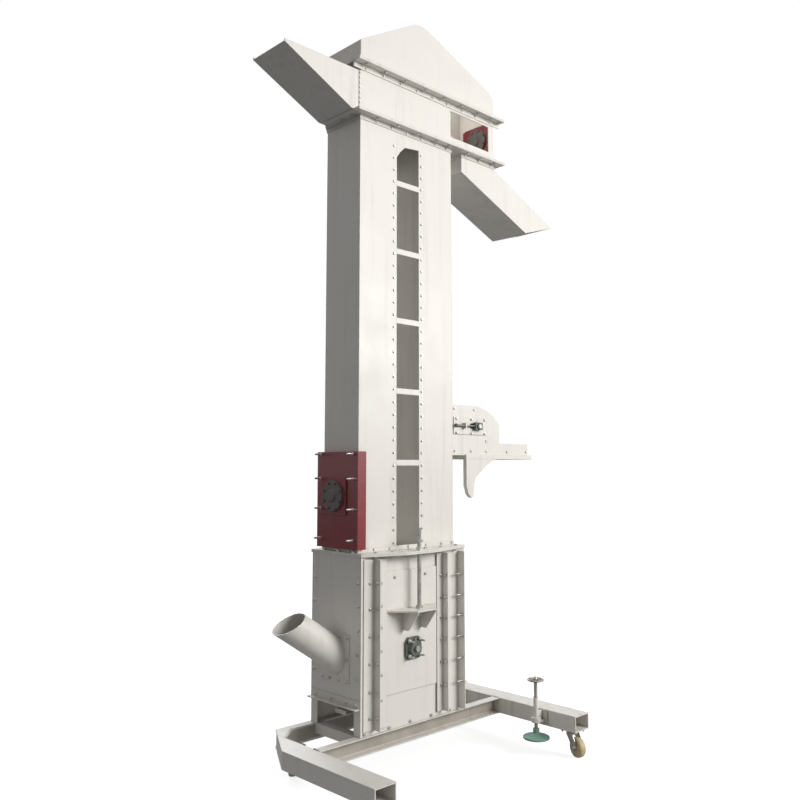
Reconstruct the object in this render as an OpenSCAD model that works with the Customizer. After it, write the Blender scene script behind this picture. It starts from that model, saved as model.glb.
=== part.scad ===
// Mobile belt bucket elevator with two legs, a slanted inlet pipe, a head with
// two chutes and a wheeled base. X runs across the two legs, -Y is the side
// with the take-up, and Z = 0 is the floor under the middle of the legs.

/* [Legs] */
// Width across both legs
trunk_w = 690; // [620:1:830]
// Depth of the legs
trunk_d = 270; // [250:1:320]
// Width of the open gap between the legs
leg_gap = 166; // [120:1:180]
// Height of the legs between their flanges
trunk_h = 2250; // [1500:1:3200]
// Thickness of the casing sheet
sheet = 4; // [3:0.5:6]
// Thickness of every flange
flange_t = 8; // [6:1:12]
// Distance between two tie strips
strip_pitch = 375; // [250:1:450]
// Height of a tie strip
strip_h = 30; // [20:1:50]

/* [Boot] */
// Width of the boot
boot_w = 740; // [700:1:900]
// Depth of the boot
boot_d = 380; // [350:1:460]
// Height of the boot, legs included
boot_h = 844; // [760:1:1000]
// Height of the boot's legs below its pan
boot_leg_h = 127; // [90:1:160]
// How far the boot's flange stands out round the take-up rods
flange_out_y = 80; // [72:1:100]
// How far the boot's flange stands out at its corners
flange_out_x = 6; // [4:1:30]

/* [Belt and pulleys] */
// Radius of both pulleys
pulley_r = 140; // [110:1:150]
// Length of both pulleys
pulley_w = 190; // [150:1:220]
// Middle of the belt, off the middle of the legs
belt_x = -30; // [-40:1:0]
// Radius of the boot shaft
boot_shaft_r = 15; // [12:0.5:20]
// Radius of the head shaft
head_shaft_r = 25; // [20:0.5:30]
// Thickness of the belt
belt_t = 5; // [4:0.5:8]
// How far a bucket stands off the belt
bucket_out = 90; // [70:1:100]
// Width of a bucket
bucket_w = 180; // [140:1:210]
// Height of a bucket
bucket_h = 95; // [70:1:110]
// Distance between two buckets
bucket_pitch = 220; // [160:1:300]

/* [Take-up] */
// Height of the boot shaft above the floor
boot_shaft_z = 590; // [570:1:640]
// Travel of the boot shaft
takeup_travel = 80; // [40:1:90]
// Width of the sliding bearing plate
takeup_w = 374; // [340:1:400]
// Thickness of the sliding bearing plate
takeup_t = 6; // [5:0.5:8]
// Radius of the take-up rods
rod_r = 10; // [8:0.5:12]
// Height of the pushing shelf over the boot shaft
shelf_up = 200; // [170:1:220]
// Side of a square bearing flange
bearing_side = 108; // [96:1:118]

/* [Head] */
// How far the head reaches past the legs on the right
head_extra = 380; // [340:1:460]
// Height of the head box
head_h = 272; // [250:1:360]
// Height of the head shaft over the head's floor
head_shaft_up = 156; // [152:1:180]
// Height of the hood's left side
hood_left_h = 122; // [90:1:160]
// Height at which the hood's right side and roof would meet
hood_right_h = 150; // [110:1:190]
// Slope of the hood's roof on the left
hood_left_slope = 30.6; // [24:0.1:36]
// Slope of the hood's roof on the right
hood_right_slope = 20.2; // [15:0.1:26]
// Radius of the hood's ridge
hood_ridge_r = 160; // [100:10:400]
// Radius of the hood's right shoulder
hood_shoulder_r = 70; // [40:1:90]
// Reach of the left chute
left_chute_out = 485; // [350:1:650]
// Reach of the right chute past its neck
right_chute_out = 600; // [400:1:750]
// Length of the head shaft's driven end
drive_end = 90; // [80:1:120]
// Slope of the right chute
right_chute_slope = 22.5; // [15:0.5:30]

/* [Base] */
// Height of the rails and outriggers
rail_h = 82; // [70:1:100]
// Depth of a rail
rail_d = 45; // [40:1:60]
// Width of an outrigger
outrigger_w = 120; // [100:1:140]
// How far the outriggers reach in front of the boot
outrigger_out = 515; // [400:1:650]
// Gap between the boot and the right outrigger
base_gap_right = 278; // [240:1:340]
// Gap between the boot and the left outrigger
base_gap_left = 250; // [230:1:340]
// Radius of a caster wheel
wheel_r = 50; // [42:1:52]
// Width of a caster wheel
wheel_w = 38; // [28:1:42]
// Height of a caster from the floor to the base
caster_h = 136; // [128:1:150]
// Trail of a caster
caster_trail = 40; // [30:1:45]

/* [Screw jack] */
// Radius of the jack screw
jack_screw_r = 9; // [8:0.5:11]
// Radius of the jack foot
jack_foot_r = 70; // [50:1:76]
// Radius of the handwheel
handwheel_r = 44; // [38:1:50]
// Clearance under the raised foot
jack_clear = 78; // [60:1:80]

/* [Inlet] */
// Inner radius of the inlet pipe
inlet_r = 73.5; // [60:0.5:85]
// Slope of the inlet pipe
inlet_slope = 33; // [28:1:40]
// Reach of the inlet pipe from the boot
inlet_out = 286; // [200:1:340]
// Angle between the inlet pipe's end and a square cut
inlet_cut = 29; // [0:1:35]

/* [Side box] */
// Height of the side box's floor above the floor
side_z = 1566; // [1400:1:1800]
// Reach of the side box
side_w = 448; // [420:1:520]
// Height of the side box
side_h = 284; // [260:1:340]
// Depth of the side box
side_d = 200; // [180:1:240]
// Reach of the tray past the side box
tray_out = 272; // [200:1:360]
// Radius of the side roller
side_roller_r = 60; // [50:1:70]

/* [Hidden] */
// Clearance of a shaft that turns in its bore
run_fit = 0.05;
// Clearance between pieces that slide or turn past each other
slip = 0.3;
$fn = 48;

// Levels, from the floor up
base_z1 = caster_h + rail_h;
boot_z1 = base_z1 + boot_h;
pan_z = base_z1 + boot_leg_h;
trunk_z0 = boot_z1 + 2 * flange_t;
trunk_z1 = trunk_z0 + trunk_h;
head_z0 = trunk_z1 + flange_t;
head_z1 = head_z0 + head_h;
hood_z0 = head_z1 + flange_t;
head_shaft_z = head_z0 + head_shaft_up;

// Half sizes that many pieces share
leg_x1 = trunk_w / 2;
leg_x0 = leg_gap / 2;
leg_y = trunk_d / 2;
boot_x = boot_w / 2;
boot_y = boot_d / 2;
head_x1 = leg_x1 + head_extra;
flange_x = boot_x + flange_out_x;
flange_y = boot_y + flange_out_y;
flange_corner_y = boot_y + flange_out_x;
bulge = 110;
// Height of the upright angle round the legs' foot
foot_angle = 20;
head_flange_out = 50;
head_flange_x0 = -leg_x1 - head_flange_out;
head_flange_x1 = head_x1 + head_flange_out;
head_flange_y = leg_y + head_flange_out;
// Corner cut off the head's lower flange, at the back on the left
head_flange_cut = 85;
// Height of the upright legs of the angles under and over the head's flanges
low_angle = 23;
top_angle = 28;

// Base
rail_y1 = boot_y + 10;
rail_y0 = rail_y1 - rail_d;
rail_web = 6;
tube_wall = 6;
left_x1 = -boot_x - base_gap_left;
left_x0 = left_x1 - outrigger_w;
right_x0 = boot_x + base_gap_right;
right_x1 = right_x0 + outrigger_w;
outrigger_y0 = -boot_y - outrigger_out;
// The left outrigger's back end is cut on a slant towards the back rail
slant_y0 = -75;
slant_rise = 1.72;
slant_y1 = slant_y0 + outrigger_w * slant_rise;
slant_rail_x = left_x0 + (rail_y1 - slant_y0) / slant_rise;
slant_rail_x0 = left_x0 + (rail_y0 - slant_y0) / slant_rise;

// Casters: place of the swivel and the way the wheel trails, in degrees
caster_at = [[(right_x0 + right_x1) / 2 + 8, outrigger_y0 + 65], [(left_x0 + left_x1) / 2, outrigger_y0 + 55],
    [(right_x0 + right_x1) / 2, rail_y1 - 50], [left_x1 + 120, rail_y1 - 25]];
caster_turn = [-108, -35, 140, -120];
caster_plate_t = 6;
caster_plate_side = 100;
race_h = 12;
fork_top = caster_h - caster_plate_t - race_h - slip;
fork_plate_t = 8;
fork_wall = 4;
fork_gap = wheel_w / 2 + 3;
kingpin_r = 8;
axle_r = 5;

// Screw jack on the right outrigger
jack_x = right_x0 - 54;
jack_y = outrigger_y0 + 210;
jack_tube_r = 13;
jack_collar_z = base_z1 - 58;
jack_tube_z1 = base_z1 + 70;
jack_foot_h = 27;
jack_neck_z = jack_clear + jack_foot_h + 24;
jack_top_z = base_z1 + 164;
handwheel_t = 11;

// Boot
angle_t = 5;
takeup_y = boot_y + slip;
takeup_x0 = belt_x - takeup_w / 2;
takeup_x1 = belt_x + takeup_w / 2;
takeup_z0 = boot_shaft_z - 206;
takeup_z1 = boot_z1 - takeup_travel - slip;
rod_y = boot_y + 58;
shelf_z = boot_shaft_z + shelf_up;
shelf_t = 8;
shelf_out = 110;
slot_half = boot_shaft_r + 3;
rod_over = 112;
sweep_r = pulley_r + belt_t + bucket_out + 10;
pan_t = 4;
gate_w = 80;
gate_t = 4;
gate_y = -85;
gate_z = pan_z - pan_t - 9;
inlet_wall = 4;
inlet_z = pan_z + 228;
inlet_plate_t = 6;
weld_gap = 0.2;

// Bearings
bearing_flange_t = 13;
bearing_body_r = 37;
bearing_depth = 34;
head_bearing_side = 128;
head_notch = head_bearing_side / 2 + 1;

// Bolts
bolt_r = 5;
bolt_clear = 0.5;
bolt_head_r = 8;
bolt_head_h = 8;
bolt_pitch = 116;

// Head
left_throat_z0 = head_z0 + flange_t + sheet;
left_throat_z1 = head_z1 - 46;
left_seat = 60;
left_tip_z = head_z0 + 212;
neck_x0 = leg_x1 + 91;
neck_drop = 112;
neck_h = 26;
window_x0 = leg_x1;
window_x1 = head_x1 - 42;
window_z0 = head_z0 + 66;
window_z1 = head_z1 - 50;
hood_left_z = hood_z0 + hood_left_h;
hood_right_z = hood_z0 + hood_right_h;
shoulder_z = hood_right_z + hood_shoulder_r * (tan(hood_right_slope) - 1 / cos(hood_right_slope));
ridge_x = (hood_right_z - hood_left_z + head_x1 * tan(hood_right_slope) - leg_x1 * tan(hood_left_slope)
    + hood_ridge_r * (1 / cos(hood_left_slope) - 1 / cos(hood_right_slope)))
    / (tan(hood_left_slope) + tan(hood_right_slope));
ridge_z = hood_left_z + (ridge_x + leg_x1) * tan(hood_left_slope) - hood_ridge_r / cos(hood_left_slope);
port_y = -20;
port_z = head_z0 + 166;

// Red cover at the foot of the left leg
cover_z = [trunk_z0 + 16, trunk_z0 + 201, trunk_z0 + 352, trunk_z0 + 499];
cover_x = -leg_x1 - 20;
cover_y = leg_y + 25;
cover_lip = 55;
cover_t = 4;
cover_return = 16;
low_port_y = 20;
low_port_z = (cover_z[1] + cover_z[2]) / 2;
port_side = 190;
port_r = 78;
port_plate_t = 8;
port_t = 12;

// Side box
side_x0 = leg_x1;
side_x1 = side_x0 + side_w;
side_z1 = side_z + side_h;
side_y = side_d / 2;
side_shaft_r = 12.5;
side_shaft_x = side_x0 + 238;
side_shaft_z = side_z + 168;
side_slot = 40;
side_screw_r = 6;
side_screw_y = -side_y - 5 - slip - 11;
tray_z1 = side_z + 72;
lip_out = 23;
side_roof_r = 280;
side_roof_run = 218;
spout_x0 = side_x0 + 142;
tray_lip = 21;

// Shapes that repeat

// A box between two corners
module block(lo, hi) {
    translate(lo) cube(hi - lo);
}

module cyl_x(r, x0, x1, y, z) {
    translate([x0, y, z]) rotate([0, 90, 0]) cylinder(r = r, h = x1 - x0);
}

module cyl_y(r, y0, y1, x, z) {
    translate([x, y1, z]) rotate([90, 0, 0]) cylinder(r = r, h = y1 - y0);
}

// An outline in X and Z, run along Y
module along_y(y0, y1) {
    translate([0, y1, 0]) rotate([90, 0, 0]) linear_extrude(y1 - y0) children();
}

// An outline in Y and Z, run along X
module along_x(x0, x1) {
    translate([x0, 0, 0]) rotate([90, 0, 90]) linear_extrude(x1 - x0) children();
}

// A flat ring of plate between two rectangles
module ring_plate(x0, x1, y, z0, z1, in_x0, in_x1, in_y) {
    difference() {
        block([x0, -y, z0], [x1, y, z1]);
        block([in_x0, -in_y, z0 - 1], [in_x1, in_y, z1 + 1]);
    }
}

// The front and its copy at the back
module front_and_back() {
    children();
    mirror([0, 1, 0]) children();
}

function arc(x, z, r, a0, a1, n = 8) = [for (i = [0:n]) let (a = a0 + (a1 - a0) * i / n)
    [x + r * cos(a), z + r * sin(a)]];

// Centres of the bolts along one flange edge
function spread(length, pitch) = let (n = max(1, round(length / pitch)))
    [for (i = [0:n]) -length / 2 + length * i / n];

// Base

module rail() {
    along_x(left_x1, right_x0) polygon([[rail_y1, caster_h], [rail_y1, caster_h + rail_web],
        [rail_y0 + rail_web, caster_h + rail_web], [rail_y0 + rail_web, base_z1 - rail_web],
        [rail_y1, base_z1 - rail_web], [rail_y1, base_z1], [rail_y0, base_z1], [rail_y0, caster_h]]);
}

module front_rail() {
    color("lightgray") mirror([0, 1, 0]) rail();
}

module back_rail() {
    color("lightgray") difference() {
        rail();
        // Slanted left end, in line with the outrigger's cut
        translate([0, 0, caster_h - 1]) linear_extrude(rail_h + 2)
            polygon([[left_x1 - 1, rail_y0 - 1], [slant_rail_x0, rail_y0 - 1], [slant_rail_x0, rail_y0],
                [slant_rail_x, rail_y1], [slant_rail_x, rail_y1 + 1], [left_x1 - 1, rail_y1 + 1]]);
    }
}

module left_outrigger() {
    w = tube_wall;
    color("lightgray") translate([0, 0, caster_h]) difference() {
        linear_extrude(rail_h) polygon([[left_x0, outrigger_y0], [left_x1, outrigger_y0],
            [left_x1, slant_y1], [left_x0, slant_y0]]);
        translate([0, 0, w]) linear_extrude(rail_h - 2 * w)
            polygon([[left_x0 + w, outrigger_y0 - 1], [left_x1 - w, outrigger_y0 - 1],
                [left_x1 - w, slant_y1 - 3 * w], [left_x0 + w, slant_y0]]);
    }
}

module right_outrigger() {
    w = tube_wall;
    color("lightgray") difference() {
        block([right_x0, outrigger_y0, caster_h], [right_x1, rail_y1, base_z1]);
        block([right_x0 + w, outrigger_y0 - 1, caster_h + w], [right_x1 - w, rail_y1 + 1, base_z1 - w]);
    }
}

// Angles under the boot's sides, and the corner plate of the slanted end
module cross_beams() {
    leg = 50;
    color("lightgray") {
        for (s = [-1, 1]) scale([s, 1, 1]) {
            block([boot_x - leg, -rail_y0, base_z1 - angle_t], [boot_x, rail_y0, base_z1]);
            block([boot_x - angle_t, -rail_y0, base_z1 - leg], [boot_x, rail_y0, base_z1 - angle_t]);
        }
        translate([0, 0, base_z1 - flange_t]) linear_extrude(flange_t)
            polygon([[left_x1, rail_y0 - 90], [left_x1, slant_y1 - 1], [slant_rail_x0 + 1, rail_y0],
                [left_x1 + 110, rail_y0]]);
    }
}

// Casters

module caster_plates() {
    half = caster_plate_side / 2;
    color("silver") for (p = caster_at) translate([p[0], p[1], 0]) difference() {
        union() {
            block([-half, -half, caster_h - caster_plate_t], [half, half, caster_h]);
            translate([0, 0, caster_h - caster_plate_t - race_h]) cylinder(r1 = 24, r2 = 30, h = race_h);
        }
        translate([0, 0, fork_top - 1]) cylinder(r = kingpin_r + run_fit, h = caster_h - fork_top + 2);
    }
}

// The swivelling fork with its kingpin and the wheel's bolt
module caster_fork(i) {
    p = caster_at[i];
    tip = 15;
    color("silver") translate([p[0], p[1], 0]) rotate([0, 0, caster_turn[i]]) {
        translate([0, 0, fork_top - fork_plate_t]) cylinder(r = 28, h = fork_plate_t);
        translate([0, 0, fork_top - 1]) cylinder(r = kingpin_r, h = caster_h - fork_top - 0.5);
        for (s = [-1, 1]) scale([1, s, 1]) along_y(fork_gap, fork_gap + fork_wall) {
            polygon([[-22, fork_top - 1], [-20, fork_top - 14], [caster_trail - tip, wheel_r],
                [caster_trail + tip, wheel_r], [caster_trail + tip - 3, wheel_r + 30], [26, fork_top - 1]]);
            translate([caster_trail, wheel_r]) circle(r = tip);
        }
        cyl_y(axle_r, -fork_gap - fork_wall - 7, fork_gap + fork_wall + 9, caster_trail, wheel_r);
        for (y = [-fork_gap - fork_wall - 6, fork_gap + fork_wall])
            translate([caster_trail, y + 6, wheel_r]) rotate([90, 0, 0]) cylinder(r = 9, h = 6, $fn = 6);
    }
}

module caster_wheel(i) {
    p = caster_at[i];
    h = wheel_w / 2;
    color("burlywood") translate([p[0], p[1], 0]) rotate([0, 0, caster_turn[i]])
        translate([caster_trail, 0, wheel_r]) rotate([90, 0, 0]) rotate_extrude()
            polygon([[axle_r + run_fit, -h - 2], [16, -h - 2], [16, -h + 3], [wheel_r - 14, -h + 3],
                [wheel_r - 11, -h], [wheel_r - 7, -h], [wheel_r - 3, -h + 3], [wheel_r - 1, -h + 8],
                [wheel_r, -h + 14], [wheel_r, h - 14], [wheel_r - 1, h - 8], [wheel_r - 3, h - 3],
                [wheel_r - 7, h], [wheel_r - 11, h], [wheel_r - 14, h - 3], [16, h - 3],
                [16, h + 2], [axle_r + run_fit, h + 2]]);
}

// Screw jack

module jack_tube() {
    color("silver") {
        difference() {
            union() {
                translate([jack_x, jack_y, jack_collar_z]) cylinder(r = 25, h = 26);
                translate([jack_x, jack_y, jack_collar_z + 25])
                    cylinder(r = jack_tube_r, h = jack_tube_z1 - jack_collar_z - 25);
                block([jack_x + 8, jack_y - 20, jack_collar_z], [right_x0, jack_y + 20, jack_collar_z + 10]);
                block([jack_x + 8, jack_y - 4, jack_collar_z + 5], [right_x0, jack_y + 4, base_z1 - 4]);
                block([right_x0 - 5, jack_y - 34, jack_collar_z - 8], [right_x0, jack_y + 34, base_z1 - 2]);
            }
            translate([jack_x, jack_y, jack_collar_z - 1])
                cylinder(r = jack_screw_r + run_fit, h = 28);
            translate([jack_x, jack_y, jack_collar_z + 26])
                cylinder(r = jack_screw_r + 2, h = jack_tube_z1 - jack_collar_z);
        }
    }
}

// Domed round foot with the socket that the screw turns in
module jack_foot() {
    r = jack_foot_r;
    color("darkcyan") translate([jack_x, jack_y, jack_clear]) rotate_extrude()
        polygon(concat([[0, 0], [r - 2, 0], [r, 3], [r, 7]],
            arc(r - 5, 7, 5, 0, 70, 4),
            [[r * 0.62, 18], [21, jack_foot_h - 3], [17, jack_foot_h],
                [17, jack_neck_z - jack_clear], [jack_screw_r + run_fit, jack_neck_z - jack_clear],
                [jack_screw_r + run_fit, jack_foot_h - 4], [0, jack_foot_h - 4]]));
}

// Screw with its spoked handwheel
module jack_screw() {
    rim = 5;
    color("dimgray") translate([jack_x, jack_y, 0]) {
        translate([0, 0, jack_clear + jack_foot_h - 4 + slip])
            cylinder(r = jack_screw_r, h = jack_top_z - jack_clear - jack_foot_h);
        translate([0, 0, jack_top_z - handwheel_t - 8]) cylinder(r1 = 12, r2 = 16, h = handwheel_t + 8);
        translate([0, 0, jack_top_z]) cylinder(r1 = 11, r2 = 6, h = 10);
        translate([0, 0, jack_top_z - handwheel_t / 2]) {
            rotate_extrude() translate([handwheel_r - rim, 0]) circle(r = rim, $fn = 24);
            for (a = [0:72:359]) rotate([0, 90, a]) cylinder(r = 3.6, h = handwheel_r - rim);
        }
    }
}

// Boot

// Slot that lets the boot shaft travel
module shaft_slot(y0, y1) {
    block([belt_x - slot_half, y0, boot_shaft_z - slot_half],
        [belt_x + slot_half, y1, boot_shaft_z + takeup_travel + slot_half]);
}

module boot_front_panel() {
    color("ivory") difference() {
        block([-boot_x, -boot_y, base_z1], [boot_x, -boot_y + sheet, boot_z1]);
        shaft_slot(-boot_y - 1, -boot_y + sheet + 1);
    }
}

module boot_back_panel() {
    color("ivory") difference() {
        block([-boot_x, boot_y - sheet, base_z1], [boot_x, boot_y, boot_z1]);
        shaft_slot(boot_y - sheet - 1, boot_y + 1);
    }
}

// One side of the boot: a sheet on two feet, with an angle along its lower edge
module boot_side() {
    y = boot_y - sheet;
    foot = 45;
    along_x(boot_x - sheet, boot_x)
        polygon([[-y, base_z1], [-y + foot, base_z1], [-y + foot, pan_z], [y - foot, pan_z],
            [y - foot, base_z1], [y, base_z1], [y, boot_z1], [-y, boot_z1]]);
    block([boot_x, -y, pan_z], [boot_x + angle_t, y, pan_z + 40]);
    block([boot_x + angle_t, -y, pan_z], [boot_x + 32, y, pan_z + angle_t]);
}

// The line of the inlet pipe, through the middle of its hole in the boot
module on_inlet_line() {
    translate([-boot_x, 0, inlet_z]) rotate([0, -90 + inlet_slope, 0]) children();
}

module boot_left_panel() {
    color("ivory") difference() {
        mirror([1, 0, 0]) boot_side();
        on_inlet_line() translate([0, 0, -200]) cylinder(r = inlet_r, h = 400);
    }
}

module boot_right_panel() {
    color("ivory") boot_side();
}

// Curved floor under the buckets, with sloped aprons and the gate's runners
module boot_pan() {
    x = belt_x;
    z = pan_z + sweep_r;
    y = boot_y - sheet;
    half_gate = gate_w / 2;
    apron_z = inlet_z - inlet_r / cos(inlet_slope) - 4;
    apron_a = 215;
    color("gainsboro") difference() {
        union() {
            along_y(-y, y)
                polygon(concat([[-boot_x + sheet, apron_z]], arc(x, z, sweep_r, apron_a, 360, 24),
                    [[boot_x - sheet, z + 110], [boot_x - sheet, z + 110 - pan_t * 1.2]],
                    arc(x, z, sweep_r + pan_t, 360, apron_a, 24),
                    [[-boot_x + sheet, apron_z - pan_t * 1.1]]));
            // Runners that carry the gate, and the collar that it closes
            for (s = [-1, 1]) translate([0, gate_y, 0]) scale([1, s, 1]) {
                block([-boot_x + sheet, half_gate + slip, gate_z - 3],
                    [x + 50, half_gate + 8, gate_z + gate_t + 5.6]);
                block([-boot_x + sheet, half_gate - 8, gate_z - 3 - slip],
                    [x + 50, half_gate + 8, gate_z - slip]);
            }
            block([x - 44, gate_y - 40, gate_z + gate_t + slip], [x + 44, gate_y + 40, pan_z + 2]);
        }
        cyl_y(sweep_r, -y - 1, y + 1, x, z);
        block([x - 40, gate_y - 36, pan_z - 20], [x + 40, gate_y + 36, pan_z + 20]);
    }
}

// Angles on the boot's front and back: the plate's guides and the stiffeners
module boot_angles() {
    z0 = base_z1 + 22;
    z1 = boot_z1 - 14;
    y = boot_y;
    leg = 48;
    guide_y = takeup_y + takeup_t + slip;
    color("ivory") front_and_back() {
        // Left guide angle
        block([takeup_x0 - 138, -y - angle_t, z0], [takeup_x0 - 66, -y, z1]);
        block([takeup_x0 - 71, -y - leg, z0], [takeup_x0 - 66, -y - angle_t, z1]);
        // Left guide strip over the sliding plate
        block([takeup_x0 - 66, -guide_y, z0], [takeup_x0 - slip, -y, z1]);
        block([takeup_x0 - 66, -guide_y - 4, z0], [takeup_x0 + 8, -guide_y, z1]);
        // Right guide strip and its outstanding leg
        block([takeup_x1 + slip, -guide_y, z0], [takeup_x1 + 39, -y, z1]);
        block([takeup_x1 - 8, -guide_y - 4, z0], [takeup_x1 + 39, -guide_y, z1]);
        block([takeup_x1 + 34, -y - leg, z0], [takeup_x1 + 39, -guide_y - 4, z1]);
        // Right corner stiffener
        block([boot_x - 50, -y - angle_t, z0 - 12], [boot_x, -y, z1]);
        block([boot_x - 50, -y - leg, z0 - 12], [boot_x - 45, -y - angle_t, z1]);
    }
}

// Holes for the flange bolts and the take-up rods
module flange_holes(z0, z1) {
    for (p = flange_bolt_at) translate([p[0], p[1], z0]) cylinder(r = bolt_r + bolt_clear, h = z1 - z0);
    for (s = [-1, 1]) translate([belt_x, s * rod_y, z0]) cylinder(r = rod_r + 1, h = z1 - z0);
}

flange_bolt_x = (leg_x1 + flange_x) / 2 - 2;
flange_bolt_at = concat(
    [for (x = spread(2 * (flange_x - 86), bolt_pitch)) for (s = [-1, 1]) [x, s * (boot_y + 15)]],
    [for (y = spread(2 * (boot_y - 75), bolt_pitch)) for (s = [-1, 1]) [s * flange_bolt_x, y]]);

// Flange plate round the legs, wider where the take-up rods pass
module boot_flange_plate(z) {
    translate([0, 0, z]) linear_extrude(flange_t) difference() {
        polygon([[-flange_x, -flange_corner_y], [belt_x - bulge, -flange_y], [belt_x + bulge, -flange_y],
            [flange_x, -flange_corner_y], [flange_x, flange_corner_y], [belt_x + bulge, flange_y],
            [belt_x - bulge, flange_y], [-flange_x, flange_corner_y]]);
        for (s = [-1, 1]) translate([s * (leg_x0 + leg_x1) / 2, 0])
            square([leg_x1 - leg_x0 - 2 * sheet, 2 * (leg_y - sheet)], center = true);
    }
}

module boot_flange() {
    color("ivory") difference() {
        boot_flange_plate(boot_z1);
        flange_holes(boot_z1 - 1, boot_z1 + flange_t + 1);
    }
}

// Slanted round pipe against the boot's left side, its mouth cut more nearly level
module inlet_pipe() {
    reach = inlet_out / cos(inlet_slope);
    color("ivory") difference() {
        intersection() {
            on_inlet_line() translate([0, 0, -150])
                cylinder(r = inlet_r + inlet_wall, h = 150 + reach + inlet_r);
            block([-boot_x - 500, -200, pan_z], [-boot_x, 200, boot_z1 + 300]);
        }
        on_inlet_line() translate([0, 0, -200]) cylinder(r = inlet_r, h = 900);
        on_inlet_line() translate([0, 0, reach]) rotate([0, inlet_cut, 0])
            translate([-200, -200, 0]) cube([400, 400, 300]);
    }
}

// Square plate round the foot of the inlet pipe, bolted to the boot
module inlet_plate() {
    half = 110;
    color("ivory") difference() {
        block([-boot_x - inlet_plate_t, -half, inlet_z - 124], [-boot_x, half, inlet_z + 108]);
        on_inlet_line() translate([0, 0, -200])
            cylinder(r = inlet_r + inlet_wall + weld_gap, h = 400);
    }
}

// Flat gate under the pan, with a folded handle
module clean_out_gate() {
    y0 = gate_y - gate_w / 2 + 0.5;
    y1 = gate_y + gate_w / 2 - 0.5;
    x0 = -boot_x - 36;
    color("gainsboro") {
        block([x0, y0, gate_z], [belt_x + 30, y1, gate_z + gate_t]);
        block([x0, y0, gate_z - 16], [x0 + gate_t, y1, gate_z]);
    }
}

// Take-up

module takeup_plate() {
    half = takeup_w / 2;
    y0 = -takeup_y - takeup_t;
    gusset_h = 98;
    gusset_tip = 40;
    color("ivory") translate([belt_x, 0, 0]) difference() {
        union() {
            block([-half, y0, takeup_z0], [half, -takeup_y, takeup_z1]);
            // Shelf that the rod pushes
            translate([0, 0, shelf_z - shelf_t]) linear_extrude(shelf_t)
                polygon([[-half + 9, y0], [-65, y0 - shelf_out], [65, y0 - shelf_out], [half - 9, y0]]);
            for (x = [-65, 59]) along_x(x, x + 6)
                polygon([[y0, shelf_z - shelf_t], [y0 - shelf_out, shelf_z - shelf_t],
                    [y0 - shelf_out, shelf_z - shelf_t - 6], [y0 - gusset_tip, shelf_z - shelf_t - gusset_h],
                    [y0, shelf_z - shelf_t - gusset_h]]);
        }
        cyl_y(boot_shaft_r + 3, y0 - 1, -takeup_y + 1, 0, boot_shaft_z);
        translate([0, -rod_y, shelf_z - shelf_t - 1]) cylinder(r = rod_r + run_fit, h = shelf_t + 2);
    }
}

module takeup_plate_front() {
    takeup_plate();
}

module takeup_plate_back() {
    mirror([0, 1, 0]) takeup_plate();
}

// Square flange bearing whose back face is at Y = 0 and whose nose points to -Y
module flange_bearing(side, shaft_r) {
    k = side / 108;
    difference() {
        union() {
            along_y(-bearing_flange_t, 0) difference() {
                square([side, side], center = true);
                for (a = [0:90:270]) rotate(a) translate([side / 2, side / 2]) rotate(45)
                    square([26 * k, 60 * k], center = true);
            }
            translate([0, -bearing_flange_t + 1, 0]) rotate([90, 0, 0])
                cylinder(r1 = 43 * k, r2 = bearing_body_r * k, h = bearing_depth - bearing_flange_t);
            for (a = [45:90:315]) rotate([0, a, 0]) translate([52 * k, -bearing_flange_t + 1, 0])
                rotate([90, 30, 0]) cylinder(r = 10 * k, h = 8, $fn = 6);
        }
        cyl_y(shaft_r + run_fit, -bearing_depth - 1, 1, 0, 0);
    }
}

module takeup_bearings() {
    color("darkslategray") front_and_back()
        translate([belt_x, -takeup_y - takeup_t, boot_shaft_z]) flange_bearing(bearing_side, boot_shaft_r);
}

// Threaded rods fixed to the shelves by a nut above and below
module takeup_rods() {
    color("gray") front_and_back() translate([belt_x, -rod_y, 0]) {
        translate([0, 0, shelf_z - shelf_t - 28]) cylinder(r = rod_r, h = trunk_z0 + rod_over - shelf_z + 36);
        translate([0, 0, shelf_z]) cylinder(r = 17, h = 15, $fn = 6);
        translate([0, 0, shelf_z - shelf_t - 15]) cylinder(r = 17, h = 15, $fn = 6);
    }
}

module adjust_nut() {
    color("silver") translate([belt_x, -rod_y, trunk_z0]) difference() {
        union() {
            cylinder(r = 19, h = 3);
            cylinder(r = 17, h = 17, $fn = 6);
        }
        translate([0, 0, -1]) cylinder(r = rod_r + run_fit, h = 20);
    }
}

module adjust_nut_front() {
    adjust_nut();
}

module adjust_nut_back() {
    mirror([0, 1, 0]) adjust_nut();
}

module boot_shaft() {
    y = takeup_y + takeup_t + bearing_depth + 12;
    color("silver") cyl_y(boot_shaft_r, -y, y, belt_x, boot_shaft_z);
}

// Drum with end discs set in from its rim, on a hub
module drum(r, w, shaft_r) {
    rotate([90, 0, 0]) rotate_extrude($fn = 72)
        polygon([[shaft_r + 0.02, -w / 2 + 12], [shaft_r + 20, -w / 2 + 12], [shaft_r + 20, -w / 2 + 28],
            [r - 8, -w / 2 + 28], [r - 8, -w / 2], [r - 1.5, -w / 2], [r, 0], [r - 1.5, w / 2],
            [r - 8, w / 2], [r - 8, w / 2 - 28], [shaft_r + 20, w / 2 - 28], [shaft_r + 20, w / 2 - 12],
            [shaft_r + 0.02, w / 2 - 12]]);
}

module boot_pulley() {
    color("dimgray") translate([belt_x, 0, boot_shaft_z]) drum(pulley_r, pulley_w, boot_shaft_r);
}

// Legs

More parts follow.
